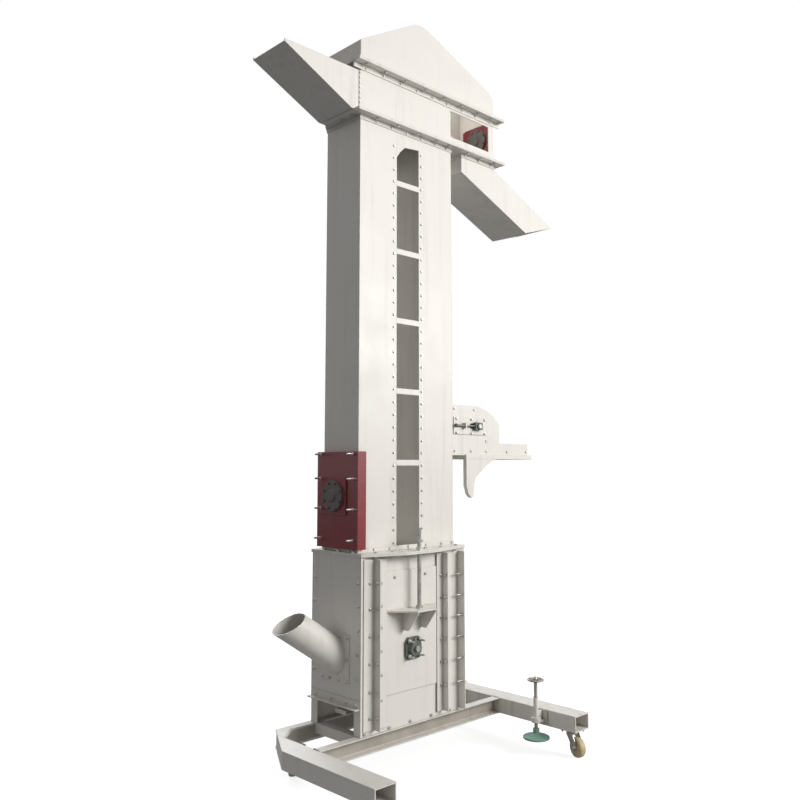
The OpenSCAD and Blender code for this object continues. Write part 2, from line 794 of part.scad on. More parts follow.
// Outer three sides of one leg
module leg_casing() {
    translate([0, 0, trunk_z0]) linear_extrude(trunk_h)
        polygon([[leg_x0, -leg_y], [leg_x1, -leg_y], [leg_x1, leg_y], [leg_x0, leg_y],
            [leg_x0, leg_y - sheet], [leg_x1 - sheet, leg_y - sheet],
            [leg_x1 - sheet, -leg_y + sheet], [leg_x0, -leg_y + sheet]]);
}

module left_leg_casing() {
    color("ivory") mirror([1, 0, 0]) leg_casing();
}

module right_leg_casing() {
    color("ivory") leg_casing();
}

// Inner wall of each leg, with the returns that its cover is bolted to
module leg_inner_walls() {
    y = leg_y - sheet;
    back = 40;
    color("gainsboro") for (s = [-1, 1]) scale([s, 1, 1])
        translate([0, 0, trunk_z0]) linear_extrude(trunk_h)
            polygon([[leg_x0, -y], [leg_x0 + back, -y], [leg_x0 + back, -y + sheet], [leg_x0 + sheet, -y + sheet],
                [leg_x0 + sheet, y - sheet], [leg_x0 + back, y - sheet], [leg_x0 + back, y], [leg_x0, y]]);
}

// Flat strips across the gap, and the filler at its top
module tie_strips() {
    first = trunk_z1 - 306;
    count = floor((first - trunk_z0 - 150) / strip_pitch) + 1;
    color("ivory") front_and_back() {
        for (i = [0:count - 1])
            block([-leg_x0, -leg_y, first - i * strip_pitch - strip_h / 2],
                [leg_x0, -leg_y + sheet, first - i * strip_pitch + strip_h / 2]);
        along_y(-leg_y, -leg_y + sheet)
            polygon([[-leg_x0, trunk_z1], [-leg_x0, trunk_z1 - 163], [-leg_x0 + 23, trunk_z1 - 130],
                [-leg_x0 + 60, trunk_z1 - 94], [leg_x0, trunk_z1 - 82], [leg_x0, trunk_z1]]);
    }
}

// Lower flange of the head, or its fellow on the legs, with one corner cut off
module head_flange_plate(x1, z) {
    translate([0, 0, z]) linear_extrude(flange_t) polygon([[head_flange_x0, -head_flange_y],
        [x1, -head_flange_y], [x1, head_flange_y], [head_flange_x0 + head_flange_cut, head_flange_y],
        [head_flange_x0, head_flange_y - head_flange_cut]]);
}

// Angle rings round the legs at their foot and top
module trunk_flanges() {
    t = sheet;
    color("ivory") {
        difference() {
            union() {
                boot_flange_plate(boot_z1 + flange_t);
                ring_plate(-leg_x1 - t, leg_x1 + t, leg_y + t, trunk_z0 - 1, trunk_z0 + foot_angle,
                    -leg_x1, leg_x1, leg_y);
            }
            flange_holes(boot_z1, trunk_z0 + 1);
        }
        difference() {
            head_flange_plate(leg_x1 + head_flange_out, trunk_z1);
            block([-leg_x1 + t, -leg_y + t, trunk_z1 - 1], [leg_x1 - t, leg_y - t, head_z0 + 1]);
        }
        ring_plate(-leg_x1 - t, leg_x1 + t, leg_y + t, trunk_z1 - low_angle, trunk_z1,
            -leg_x1, leg_x1, leg_y);
    }
}

module flange_bolts() {
    z0 = boot_z1;
    color("silver") for (p = flange_bolt_at) translate([p[0], p[1], 0]) {
        translate([0, 0, z0 - 12]) cylinder(r = bolt_r, h = 2 * flange_t + 20);
        for (z = [trunk_z0, z0 - bolt_head_h])
            translate([0, 0, z]) rotate(30) cylinder(r = bolt_head_r, h = bolt_head_h, $fn = 6);
    }
}

// Red cover of three parts round the foot of the left leg
module red_cover() {
    lip_x = cover_x - cover_t + cover_lip;
    color("crimson") for (i = [0:2]) difference() {
        union() {
            block([cover_x - cover_t, -cover_y, cover_z[i] + slip], [cover_x, cover_y, cover_z[i + 1]]);
            front_and_back() block([cover_x - cover_t, -cover_y, cover_z[i] + slip],
                [lip_x, -cover_y + cover_t, cover_z[i + 1]]);
            // Webs that seat on the leg, and on its foot angle at the bottom
            for (z = [cover_z[i] + slip, cover_z[i + 1] - cover_t])
                block([cover_x - 1, -cover_y + 1, z],
                    [-leg_x1 - (z < trunk_z0 + foot_angle ? sheet : 0), cover_y - 1, z + cover_t]);
        }
        for (p = stud_at) cyl_x(bolt_r + bolt_clear, cover_x - cover_t - 1, -leg_x1 + 1, p[0], p[1]);
        if (i == 1) cyl_x(port_r - 12, cover_x - cover_t - 1, -leg_x1 - 1, low_port_y, low_port_z);
    }
}

stud_rows = [cover_z[0] + 46, cover_z[1] + 12, cover_z[2] + 12, cover_z[3] - 12];
stud_at = [for (z = stud_rows) for (s = [-1, 1]) [s * (leg_y - 8), z]];

// Long studs that hold the red cover off the leg
module cover_studs() {
    color("silver") for (p = stud_at) {
        cyl_x(bolt_r, cover_x - cover_t - 42, -leg_x1, p[0], p[1]);
        translate([cover_x - cover_t - 8, p[0], p[1]]) rotate([0, 90, 0])
            cylinder(r = bolt_head_r, h = 8, $fn = 6);
    }
}

// Round port cover on a square flange; the nose points to -X
module port_disc() {
    half = port_side / 2;
    rotate([0, -90, 0]) {
        translate([-half, -half, 0]) cube([port_side, port_side, port_plate_t]);
        translate([0, 0, port_plate_t]) cylinder(r = port_r, h = port_t);
        translate([0, 0, port_plate_t + port_t - 1]) cylinder(r1 = 34, r2 = 26, h = 10);
        for (a = [22.5:45:359]) rotate(a) translate([port_r - 12, 0, port_plate_t + port_t - 1])
            cylinder(r = 8, h = 7, $fn = 6);
    }
}

module port_discs() {
    color("darkslategray") {
        translate([cover_x - cover_t, low_port_y, low_port_z]) port_disc();
        translate([head_x1 - sheet - port_plate_t, port_y, port_z]) port_disc();
    }
}

// Head

module head_box() {
    x0 = -leg_x1;
    s = sheet;
    color("ivory") difference() {
        union() {
            ring_plate(x0, head_x1, leg_y, head_z0, head_z1, x0 + s, head_x1 - s, leg_y - s);
            head_flange_plate(head_flange_x1, head_z0);
            ring_plate(head_flange_x0, head_flange_x1, head_flange_y, head_z1 - flange_t, head_z1,
                x0 + s, head_x1 - s, leg_y - s);
            // Upright legs of the top angle, with a notch for the bearing at the back
            difference() {
                front_and_back() block([head_flange_x0, -leg_y - s, head_z1 - flange_t - top_angle],
                    [head_flange_x1, -leg_y, head_z1 - flange_t]);
                translate([belt_x, leg_y, head_shaft_z]) block([-head_notch, -1, -head_notch],
                    [head_notch, s + 1, head_notch]);
            }
        }
        for (side = [-1, 1]) scale([side, 1, 1])
            block([leg_x0 + s, -leg_y + s, head_z0 - 1], [leg_x1 - s, leg_y - s, head_z0 + flange_t + 1]);
        block([neck_x0 + s, -leg_y + s, head_z0 - 1], [head_x1 - s, leg_y - s, head_z0 + flange_t + 1]);
        block([x0 - 1, -leg_y + s, left_throat_z0], [x0 + s + 1, leg_y - s, left_throat_z1]);
        block([window_x0, -leg_y - 1, window_z0], [window_x1, -leg_y + s + 1, window_z1]);
        cyl_y(head_shaft_r + 2, leg_y - s - 1, leg_y + 1, belt_x, head_shaft_z);
    }
}

// Outline of the hood, drawn in by the given amount: a sharp fold on the left, a
// rounded ridge and a rounded shoulder on the right
function hood_outline(inset) = let (x = leg_x1 - inset, a = 90 - hood_right_slope)
    concat([[head_x1 - inset, hood_z0]],
        arc(head_x1 - hood_shoulder_r, shoulder_z, hood_shoulder_r - inset, 0, a),
        arc(ridge_x, ridge_z, hood_ridge_r - inset, a, 90 + hood_left_slope, 12),
        [[-x, hood_left_z + inset * (tan(hood_left_slope) - 1 / cos(hood_left_slope))], [-x, hood_z0]]);

module head_hood() {
    color("ivory") {
        difference() {
            along_y(-leg_y, leg_y) polygon(hood_outline(0));
            along_y(-leg_y + sheet, leg_y - sheet) translate([0, -1]) polygon(concat(
                [[head_x1 - sheet, hood_z0 - 1]], hood_outline(sheet), [[-leg_x1 + sheet, hood_z0 - 1]]));
        }
        ring_plate(head_flange_x0, head_flange_x1, head_flange_y, head_z1, hood_z0,
            -leg_x1 + sheet, head_x1 - sheet, leg_y - sheet);
    }
}

// Open wedge that rises outwards from the head's left side
module left_chute() {
    x0 = -leg_x1 - left_chute_out;
    x1 = -leg_x1 - left_seat;
    z0 = head_z0 + flange_t;
    z1 = left_throat_z1 + 2;
    side = [[-leg_x1, z0], [-leg_x1, z1], [x0, left_tip_z + 14], [x0, left_tip_z], [x1, z0]];
    color("ivory") difference() {
        along_y(-leg_y, leg_y) polygon(side);
        along_y(-leg_y + sheet, leg_y - sheet)
            polygon([[-leg_x1 + 1, z0 + sheet], [-leg_x1 + 1, z1 + 5], [x0 - 1, z1 + 5],
                [x0 - 1, left_tip_z + sheet], [x1 + 1, z0 + sheet]]);
    }
}

// Square duct that falls to the right from a short neck
module right_chute() {
    drop = right_chute_out * tan(right_chute_slope);
    z_neck = trunk_z1 - neck_drop;
    z_roof = trunk_z1 - neck_h;
    tip_x = head_x1 + right_chute_out;
    tip_z = z_roof - drop;
    low_x = neck_x0 + right_chute_out;
    s = sheet;
    outline = [[neck_x0, trunk_z1], [neck_x0, z_neck], [low_x, z_neck - drop],
        [tip_x - 20, tip_z], [head_x1, z_roof], [head_x1, trunk_z1]];
    color("ivory") {
        difference() {
            along_y(-leg_y, leg_y) polygon(outline);
            along_y(-leg_y + s, leg_y - s) polygon([[neck_x0 + s, trunk_z1 + 1], [neck_x0 + s, z_neck + s],
                [low_x, z_neck - drop + s * 1.1], [low_x + 1, z_neck - drop - 20],
                [tip_x + 30, tip_z - 30], [tip_x - 20, tip_z - s * 1.1],
                [head_x1 - s, z_roof - s * 0.7], [head_x1 - s, trunk_z1 + 1]]);
        }
        // Upright legs of the angle round the neck
        ring_plate(neck_x0 - s, head_x1 + s, leg_y + s, trunk_z1 - low_angle, trunk_z1,
            neck_x0, head_x1, leg_y);
        ring_plate(leg_x1 + head_flange_out + 2, head_flange_x1, head_flange_y, trunk_z1, head_z0,
            neck_x0 + s, head_x1 - s, leg_y - s);
    }
}

// Red plate behind the upper port, on the inside of the head's right end
module red_port_plate() {
    color("crimson") block([head_x1 - sheet - port_plate_t, port_y - 108, head_z0 + flange_t + 60],
        [head_x1 - sheet, port_y + 118, head_z1 - flange_t - 4]);
}

module head_shaft() {
    y0 = leg_y + bearing_depth + 6;
    color("silver") {
        cyl_y(head_shaft_r, -leg_y + sheet + 4, y0, belt_x, head_shaft_z);
        cyl_y(head_shaft_r - 1, y0 - 1, y0 + drive_end, belt_x, head_shaft_z);
    }
}

module head_pulley() {
    color("dimgray") translate([belt_x, 0, head_shaft_z]) drum(pulley_r, pulley_w, head_shaft_r);
}

// One bearing inside the front wall and one on the outside of the back wall
module head_bearings() {
    side = head_bearing_side;
    color("darkslategray") {
        translate([belt_x, leg_y, head_shaft_z]) mirror([0, 1, 0]) flange_bearing(side, head_shaft_r);
        translate([belt_x, -leg_y + sheet, head_shaft_z]) difference() {
            union() {
                along_y(0, 10) square([side, side], center = true);
                cyl_y(52, 9, 22, 0, 0);
            }
            cyl_y(head_shaft_r + run_fit, -1, 24, 0, 0);
        }
    }
}

// Belt: two straight runs and two half turns round the pulleys
module belt() {
    r0 = pulley_r + slip;
    r1 = r0 + belt_t;
    w = pulley_w - 6;
    x = belt_x;
    color("#33302e") along_y(-w / 2, w / 2) {
        for (s = [-1, 1]) translate([x + s * (r0 + r1) / 2, (boot_shaft_z + head_shaft_z) / 2])
            square([belt_t, head_shaft_z - boot_shaft_z], center = true);
        for (end = [0, 1]) translate([x, end == 0 ? boot_shaft_z : head_shaft_z]) difference() {
            circle(r = r1, $fn = 96);
            circle(r = r0, $fn = 96);
            translate([-r1 - 1, end == 0 ? 0 : -r1 - 1]) square([2 * r1 + 2, r1 + 1]);
        }
    }
}

// One open bucket; its back lies on Z = up, at X = 0, and it stands out to +X
module bucket() {
    o = bucket_out;
    h = bucket_h;
    t = 2.5;
    difference() {
        along_y(-bucket_w / 2, bucket_w / 2)
            polygon([[0, -h / 2], [o * 0.35, -h / 2], [o * 0.72, -h / 4], [o, h * 0.38], [o - t, h * 0.4], [0, h / 2]]);
        along_y(-bucket_w / 2 + t, bucket_w / 2 - t)
            polygon([[t, -h / 2 + t], [o * 0.35 - 1, -h / 2 + t], [o * 0.72 - t, -h / 4 + t / 2],
                [o - 2 * t, h * 0.38], [o - 2 * t, h], [t, h]]);
    }
}

module buckets() {
    x = belt_x;
    r = pulley_r + slip + belt_t + 0.1;
    run = head_shaft_z - boot_shaft_z;
    count = floor((run - bucket_h) / bucket_pitch) + 1;
    start = (run - (count - 1) * bucket_pitch) / 2;
    color("#77736c") {
        for (i = [0:count - 1]) {
            translate([x + r, 0, boot_shaft_z + start + i * bucket_pitch]) mirror([0, 0, 1]) bucket();
            translate([x - r, 0, boot_shaft_z + start + i * bucket_pitch]) mirror([1, 0, 0]) bucket();
        }
        translate([x, 0, head_shaft_z]) rotate([0, -90, 0]) translate([r, 0, 0]) mirror([0, 0, 1]) bucket();
        translate([x, 0, boot_shaft_z]) rotate([0, 90, 0]) translate([r, 0, 0]) mirror([0, 0, 1]) bucket();
    }
}

// Side box on the right leg

function side_outline(inset) = let (r = side_roof_r - inset)
    concat([[side_x0, side_z + inset], [side_x1 - inset, side_z + inset]],
        arc(side_x1 - side_roof_run, side_z1 - side_roof_r, r, acos((side_roof_run - inset) / r), 90),
        [[side_x0, side_z1 - inset]]);

// Box with a slotted adjusting plate, and the open tray beside it
module side_housing() {
    y = side_y;
    plate_x0 = side_shaft_x - 192;
    plate_x1 = side_shaft_x + 92;
    tray_x1 = side_x1 + tray_out;
    s = 4;
    color("ivory") difference() {
        union() {
            along_y(-y, y) polygon(side_outline(0));
            front_and_back() block([plate_x0, -y - 5, side_shaft_z - 49], [plate_x1, -y, side_shaft_z + 49]);
            front_and_back() difference() {
                block([side_shaft_x - 116, -y - 30, side_shaft_z - 16], [side_shaft_x - 106, -y - 5, side_shaft_z + 16]);
                cyl_x(side_screw_r + slip, side_shaft_x - 117, side_shaft_x - 105, side_screw_y, side_shaft_z);
            }
            block([side_x1 - 1, -y, side_z + 4], [tray_x1, y, tray_z1]);
            block([spout_x0, -y - 12, side_z - tray_lip], [tray_x1 + lip_out, y + 12, side_z + 4]);
        }
        along_y(-y + s, y - s) polygon(side_outline(s));
        block([side_x1 + 2, -y + s, side_z + 4 + s], [tray_x1 - s, y - s, tray_z1 + 1]);
        block([spout_x0 + 4, -y - 8, side_z - tray_lip - 1], [tray_x1 + lip_out - 4, y + 8, side_z]);
        // Slots for the roller's shaft
        front_and_back() block([side_shaft_x - side_slot - side_shaft_r, -y - 6, side_shaft_z - side_shaft_r - 2],
            [side_shaft_x + side_slot + side_shaft_r, -y + s + 1, side_shaft_z + side_shaft_r + 2]);
    }
}

// Curved plate with folded edges that hangs from the front of the tray's lip
module side_spout() {
    x = spout_x0;
    z = side_z - tray_lip;
    y = -side_y - 12;
    deep = 24;
    s = 4;
    outer = [[x, z], [x, side_z - 169], [x + 15, side_z - 218], [x + 41, side_z - 242], [x + 60, side_z - 232],
        [x + 66, side_z - 156], [x + 79, side_z - 125], [x + 133, side_z - 86], [x + 182, side_z - 51],
        [x + 232, side_z - 29], [x + 262, z]];
    inner = [[x + s, z + 1], [x + s, side_z - 168], [x + 18, side_z - 214], [x + 38, side_z - 232],
        [x + 42, side_z - 260], [x + 56, side_z - 260], [x + 56, side_z - 232], [x + 62, side_z - 157],
        [x + 75, side_z - 122], [x + 131, side_z - 82], [x + 180, side_z - 47], [x + 228, side_z - 26],
        [x + 244, z + 1]];
    color("ivory") difference() {
        along_y(y, y + deep) polygon(outer);
        along_y(y + s, y + deep + 1) polygon(inner);
    }
}

// Bearing blocks on the adjusting plates, each with its pulling screw
module side_bearings() {
    y = side_y + 5 + slip;
    color("darkslategray") front_and_back() translate([side_shaft_x, -y, side_shaft_z]) {
        difference() {
            union() {
                along_y(-24, 0) square([60, 42], center = true);
                cyl_y(19, -32, -23, 0, 0);
                cyl_x(side_screw_r, -190, -29, side_screw_y + y, 0);
                translate([-190, side_screw_y + y, 0]) rotate([0, 90, 0]) cylinder(r = 11, h = 9, $fn = 6);
            }
            cyl_y(side_shaft_r + run_fit, -34, 1, 0, 0);
        }
    }
}

// Roller with its shaft
module side_roller() {
    y = side_y + 5 + slip + 34;
    w = side_d - 30;
    color("silver") translate([side_shaft_x, 0, side_shaft_z]) {
        cyl_y(side_shaft_r, -y, y, 0, 0);
        rotate([90, 0, 0]) rotate_extrude()
            polygon([[side_shaft_r - 1, -w / 2], [side_roller_r - 3, -w / 2], [side_roller_r, -w / 2 + 3],
                [side_roller_r, w / 2 - 3], [side_roller_r - 3, w / 2], [side_shaft_r - 1, w / 2]]);
    }
}

front_rail();
back_rail();
left_outrigger();
right_outrigger();
cross_beams();
caster_plates();
caster_fork(0);  // caster_fork_1
caster_fork(1);  // caster_fork_2
caster_fork(2);  // caster_fork_3
caster_fork(3);  // caster_fork_4
caster_wheel(0);  // caster_wheel_1
caster_wheel(1);  // caster_wheel_2
caster_wheel(2);  // caster_wheel_3
caster_wheel(3);  // caster_wheel_4
jack_tube();
jack_foot();
jack_screw();
boot_front_panel();
boot_back_panel();
boot_left_panel();
boot_right_panel();
boot_pan();
boot_angles();
boot_flange();
inlet_pipe();
inlet_plate();
clean_out_gate();
takeup_plate_front();
takeup_plate_back();
takeup_bearings();
takeup_rods();
adjust_nut_front();
adjust_nut_back();
boot_shaft();
boot_pulley();
left_leg_casing();
right_leg_casing();
leg_inner_walls();
tie_strips();
trunk_flanges();
flange_bolts();
red_cover();
cover_studs();
port_discs();
head_box();
head_hood();
left_chute();
right_chute();
red_port_plate();
head_shaft();
head_pulley();
head_bearings();
belt();
buckets();
side_housing();
side_spout();
side_bearings();
side_roller();
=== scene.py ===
import math

import bmesh
import bpy
from mathutils import Matrix, Vector


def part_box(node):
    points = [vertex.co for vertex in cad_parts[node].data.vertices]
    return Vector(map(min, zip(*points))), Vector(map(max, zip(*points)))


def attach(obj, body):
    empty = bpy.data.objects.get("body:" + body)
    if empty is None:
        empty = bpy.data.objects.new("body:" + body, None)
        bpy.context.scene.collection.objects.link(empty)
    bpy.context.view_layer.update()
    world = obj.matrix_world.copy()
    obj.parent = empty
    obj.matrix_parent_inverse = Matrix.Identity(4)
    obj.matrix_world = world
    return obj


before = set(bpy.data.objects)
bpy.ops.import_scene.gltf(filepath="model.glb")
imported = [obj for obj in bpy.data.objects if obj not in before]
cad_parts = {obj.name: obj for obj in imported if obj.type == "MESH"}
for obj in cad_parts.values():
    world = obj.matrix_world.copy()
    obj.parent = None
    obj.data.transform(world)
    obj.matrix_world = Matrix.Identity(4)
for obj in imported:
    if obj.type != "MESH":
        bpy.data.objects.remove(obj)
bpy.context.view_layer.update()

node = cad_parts

# Camera, floor and light
# The camera stands where the photograph was taken, at about the height of a person's eyes.
# Floor and world are pale; two lamps stand to the front right and one behind on the right.
camera_data = bpy.data.cameras.new("camera")
camera_data.sensor_width = 36
camera_data.lens = 37.33
camera_data.shift_x = -0.0088
camera_data.shift_y = -0.0255
camera = bpy.data.objects.new("camera", camera_data)
camera.location = (-3.0615, -3.2841, 1.5)
camera.rotation_euler = (math.radians(96.01), 0, math.radians(-44.13))
bpy.context.scene.collection.objects.link(camera)
bpy.context.scene.camera = camera
bpy.context.scene.view_settings.view_transform = "Standard"

AMBIENT = 0.25
world = bpy.data.worlds.new("studio")
world.use_nodes = True
bpy.context.scene.world = world
sky = world.node_tree.nodes["Background"]
sky.inputs["Color"].default_value = (1, 1, 1, 1)
rays = world.node_tree.nodes.new("ShaderNodeLightPath")
seen = world.node_tree.nodes.new("ShaderNodeMath")
seen.operation = "MAXIMUM"
world.node_tree.links.new(rays.outputs["Is Camera Ray"], seen.inputs[0])
world.node_tree.links.new(rays.outputs["Is Transmission Ray"], seen.inputs[1])
strength = world.node_tree.nodes.new("ShaderNodeMapRange")
strength.inputs["To Min"].default_value = AMBIENT
strength.inputs["To Max"].default_value = 1.0
in_gloss = world.node_tree.nodes.new("ShaderNodeMath")
in_gloss.operation = "MAXIMUM"
world.node_tree.links.new(seen.outputs[0], in_gloss.inputs[0])
world.node_tree.links.new(rays.outputs["Is Glossy Ray"], in_gloss.inputs[1])
world.node_tree.links.new(in_gloss.outputs[0], strength.inputs["Value"])
world.node_tree.links.new(strength.outputs["Result"], sky.inputs["Strength"])


def lamp(name, place, aim, size, watts, colour=(1, 1, 1)):
    """An area lamp that looks at a point."""
    data = bpy.data.lights.new(name, "AREA")
    data.shape = "DISK"
    data.size = size
    data.energy = watts
    data.color = colour
    light = bpy.data.objects.new(name, data)
    light.location = place
    light.rotation_euler = (Vector(aim) - Vector(place)).to_track_quat("-Z", "Y").to_euler()
    bpy.context.scene.collection.objects.link(light)
    return light


lamp("key_lamp", (3.4, -8.2, 5.0), (0, 0, 1.9), 4.5, 620, (1.0, 0.985, 0.96))
lamp("side_lamp", (5.6, -6.3, 3.3), (0, 0, 2.2), 1.8, 130, (1.0, 0.99, 0.97))
lamp("back_lamp", (2.6, 8.0, 5.0), (0, 0, 2.0), 4.0, 380, (0.97, 0.985, 1.0))

# A small lamp under the hood stands for the daylight that falls in through the open chutes
head_lamp = lamp("head_lamp", (0.18, -0.02, 3.66), (0.62, 0.0, 3.45), 0.16, 1.2, (1.0, 0.98, 0.95))
head_lamp.visible_camera = False

floor_build = bmesh.new()
bmesh.ops.create_grid(floor_build, x_segments=1, y_segments=1, size=40)
floor_mesh = bpy.data.meshes.new("floor")
floor_build.to_mesh(floor_mesh)
floor_build.free()
floor = bpy.data.objects.new("floor", floor_mesh)
bpy.context.scene.collection.objects.link(floor)
floor_paint = bpy.data.materials.new("pale_floor")
floor_paint.use_nodes = True
floor_shader = floor_paint.node_tree.nodes["Principled BSDF"]
floor_shader.inputs["Roughness"].default_value = 0.9
floor_shader.inputs["Emission Color"].default_value = (1, 1, 1, 1)
floor_rays = floor_paint.node_tree.nodes.new("ShaderNodeLightPath")
floor_glow = floor_paint.node_tree.nodes.new("ShaderNodeMath")
floor_glow.operation = "MULTIPLY"
floor_place = floor_paint.node_tree.nodes.new("ShaderNodeTexCoord")
floor_reach = floor_paint.node_tree.nodes.new("ShaderNodeVectorMath")
floor_reach.operation = "LENGTH"
floor_paint.node_tree.links.new(floor_place.outputs["Object"], floor_reach.inputs[0])
floor_fade = floor_paint.node_tree.nodes.new("ShaderNodeMapRange")
floor_fade.inputs["From Min"].default_value = 0.6
floor_fade.inputs["From Max"].default_value = 3.5
floor_fade.inputs["To Min"].default_value = 0.78
floor_fade.inputs["To Max"].default_value = 1.0
floor_paint.node_tree.links.new(floor_reach.outputs["Value"], floor_fade.inputs["Value"])
floor_paint.node_tree.links.new(floor_fade.outputs["Result"], floor_glow.inputs[1])
floor_paint.node_tree.links.new(floor_rays.outputs["Is Camera Ray"], floor_glow.inputs[0])
floor_paint.node_tree.links.new(floor_glow.outputs[0], floor_shader.inputs["Emission Strength"])
# The floor is palest round the object, so its low pieces get more light from below than its chutes
floor_tone = floor_paint.node_tree.nodes.new("ShaderNodeMapRange")
floor_tone.inputs["From Min"].default_value = 0.9
floor_tone.inputs["From Max"].default_value = 2.6
floor_tone.inputs["To Min"].default_value = 0.40
floor_tone.inputs["To Max"].default_value = 0.17
floor_paint.node_tree.links.new(floor_reach.outputs["Value"], floor_tone.inputs["Value"])
floor_paint.node_tree.links.new(floor_tone.outputs["Result"], floor_shader.inputs["Base Color"])
floor_mesh.materials.append(floor_paint)

# Base frame
# Two channels and two square tubes of mild steel, welded and painted a pale grey.
# The paint is thin, so it is rubbed at the edges and dusty on top.


def shader_group(name, inputs, outputs):
    """Starts a node group with named inputs and outputs; returns its tree and its two end nodes."""
    tree = bpy.data.node_groups.new(name, "ShaderNodeTree")
    for label, kind, value in inputs:
        tree.interface.new_socket(label, in_out="INPUT", socket_type=kind).default_value = value
    for label, kind in outputs:
        tree.interface.new_socket(label, in_out="OUTPUT", socket_type=kind)
    return tree, tree.nodes.new("NodeGroupInput"), tree.nodes.new("NodeGroupOutput")


def mixer(tree, blend="MIX"):
    """A colour mix node, given back with its factor, two colours and result."""
    mix = tree.nodes.new("ShaderNodeMix")
    mix.data_type = "RGBA"
    mix.blend_type = blend
    return mix.inputs[0], mix.inputs[6], mix.inputs[7], mix.outputs[2]


def cloud(tree, scale, detail, stretch=None):
    """Noise on Object coordinates, its coordinates stretched if asked."""
    place = tree.nodes.new("ShaderNodeTexCoord")
    noise = tree.nodes.new("ShaderNodeTexNoise")
    noise.inputs["Scale"].default_value = scale
    noise.inputs["Detail"].default_value = detail
    if stretch:
        mapping = tree.nodes.new("ShaderNodeMapping")
        mapping.inputs["Scale"].default_value = stretch
        tree.links.new(place.outputs["Object"], mapping.inputs["Vector"])
        tree.links.new(mapping.outputs["Vector"], noise.inputs["Vector"])
    else:
        tree.links.new(place.outputs["Object"], noise.inputs["Vector"])
    return noise.outputs["Fac"]


def ranged(tree, value, low, high, to_low=0.0, to_high=1.0):
    """A value moved from one range to another and held there."""
    node_ = tree.nodes.new("ShaderNodeMapRange")
    node_.inputs["From Min"].default_value = low
    node_.inputs["From Max"].default_value = high
    node_.inputs["To Min"].default_value = to_low
    node_.inputs["To Max"].default_value = to_high
    tree.links.new(value, node_.inputs["Value"])
    return node_.outputs["Result"]


def times(tree, first, second):
    """Product of two values; the second may be a number."""
    node_ = tree.nodes.new("ShaderNodeMath")
    node_.operation = "MULTIPLY"
    tree.links.new(first, node_.inputs[0])
    if isinstance(second, float):
        node_.inputs[1].default_value = second
    else:
        tree.links.new(second, node_.inputs[1])
    return node_.outputs[0]


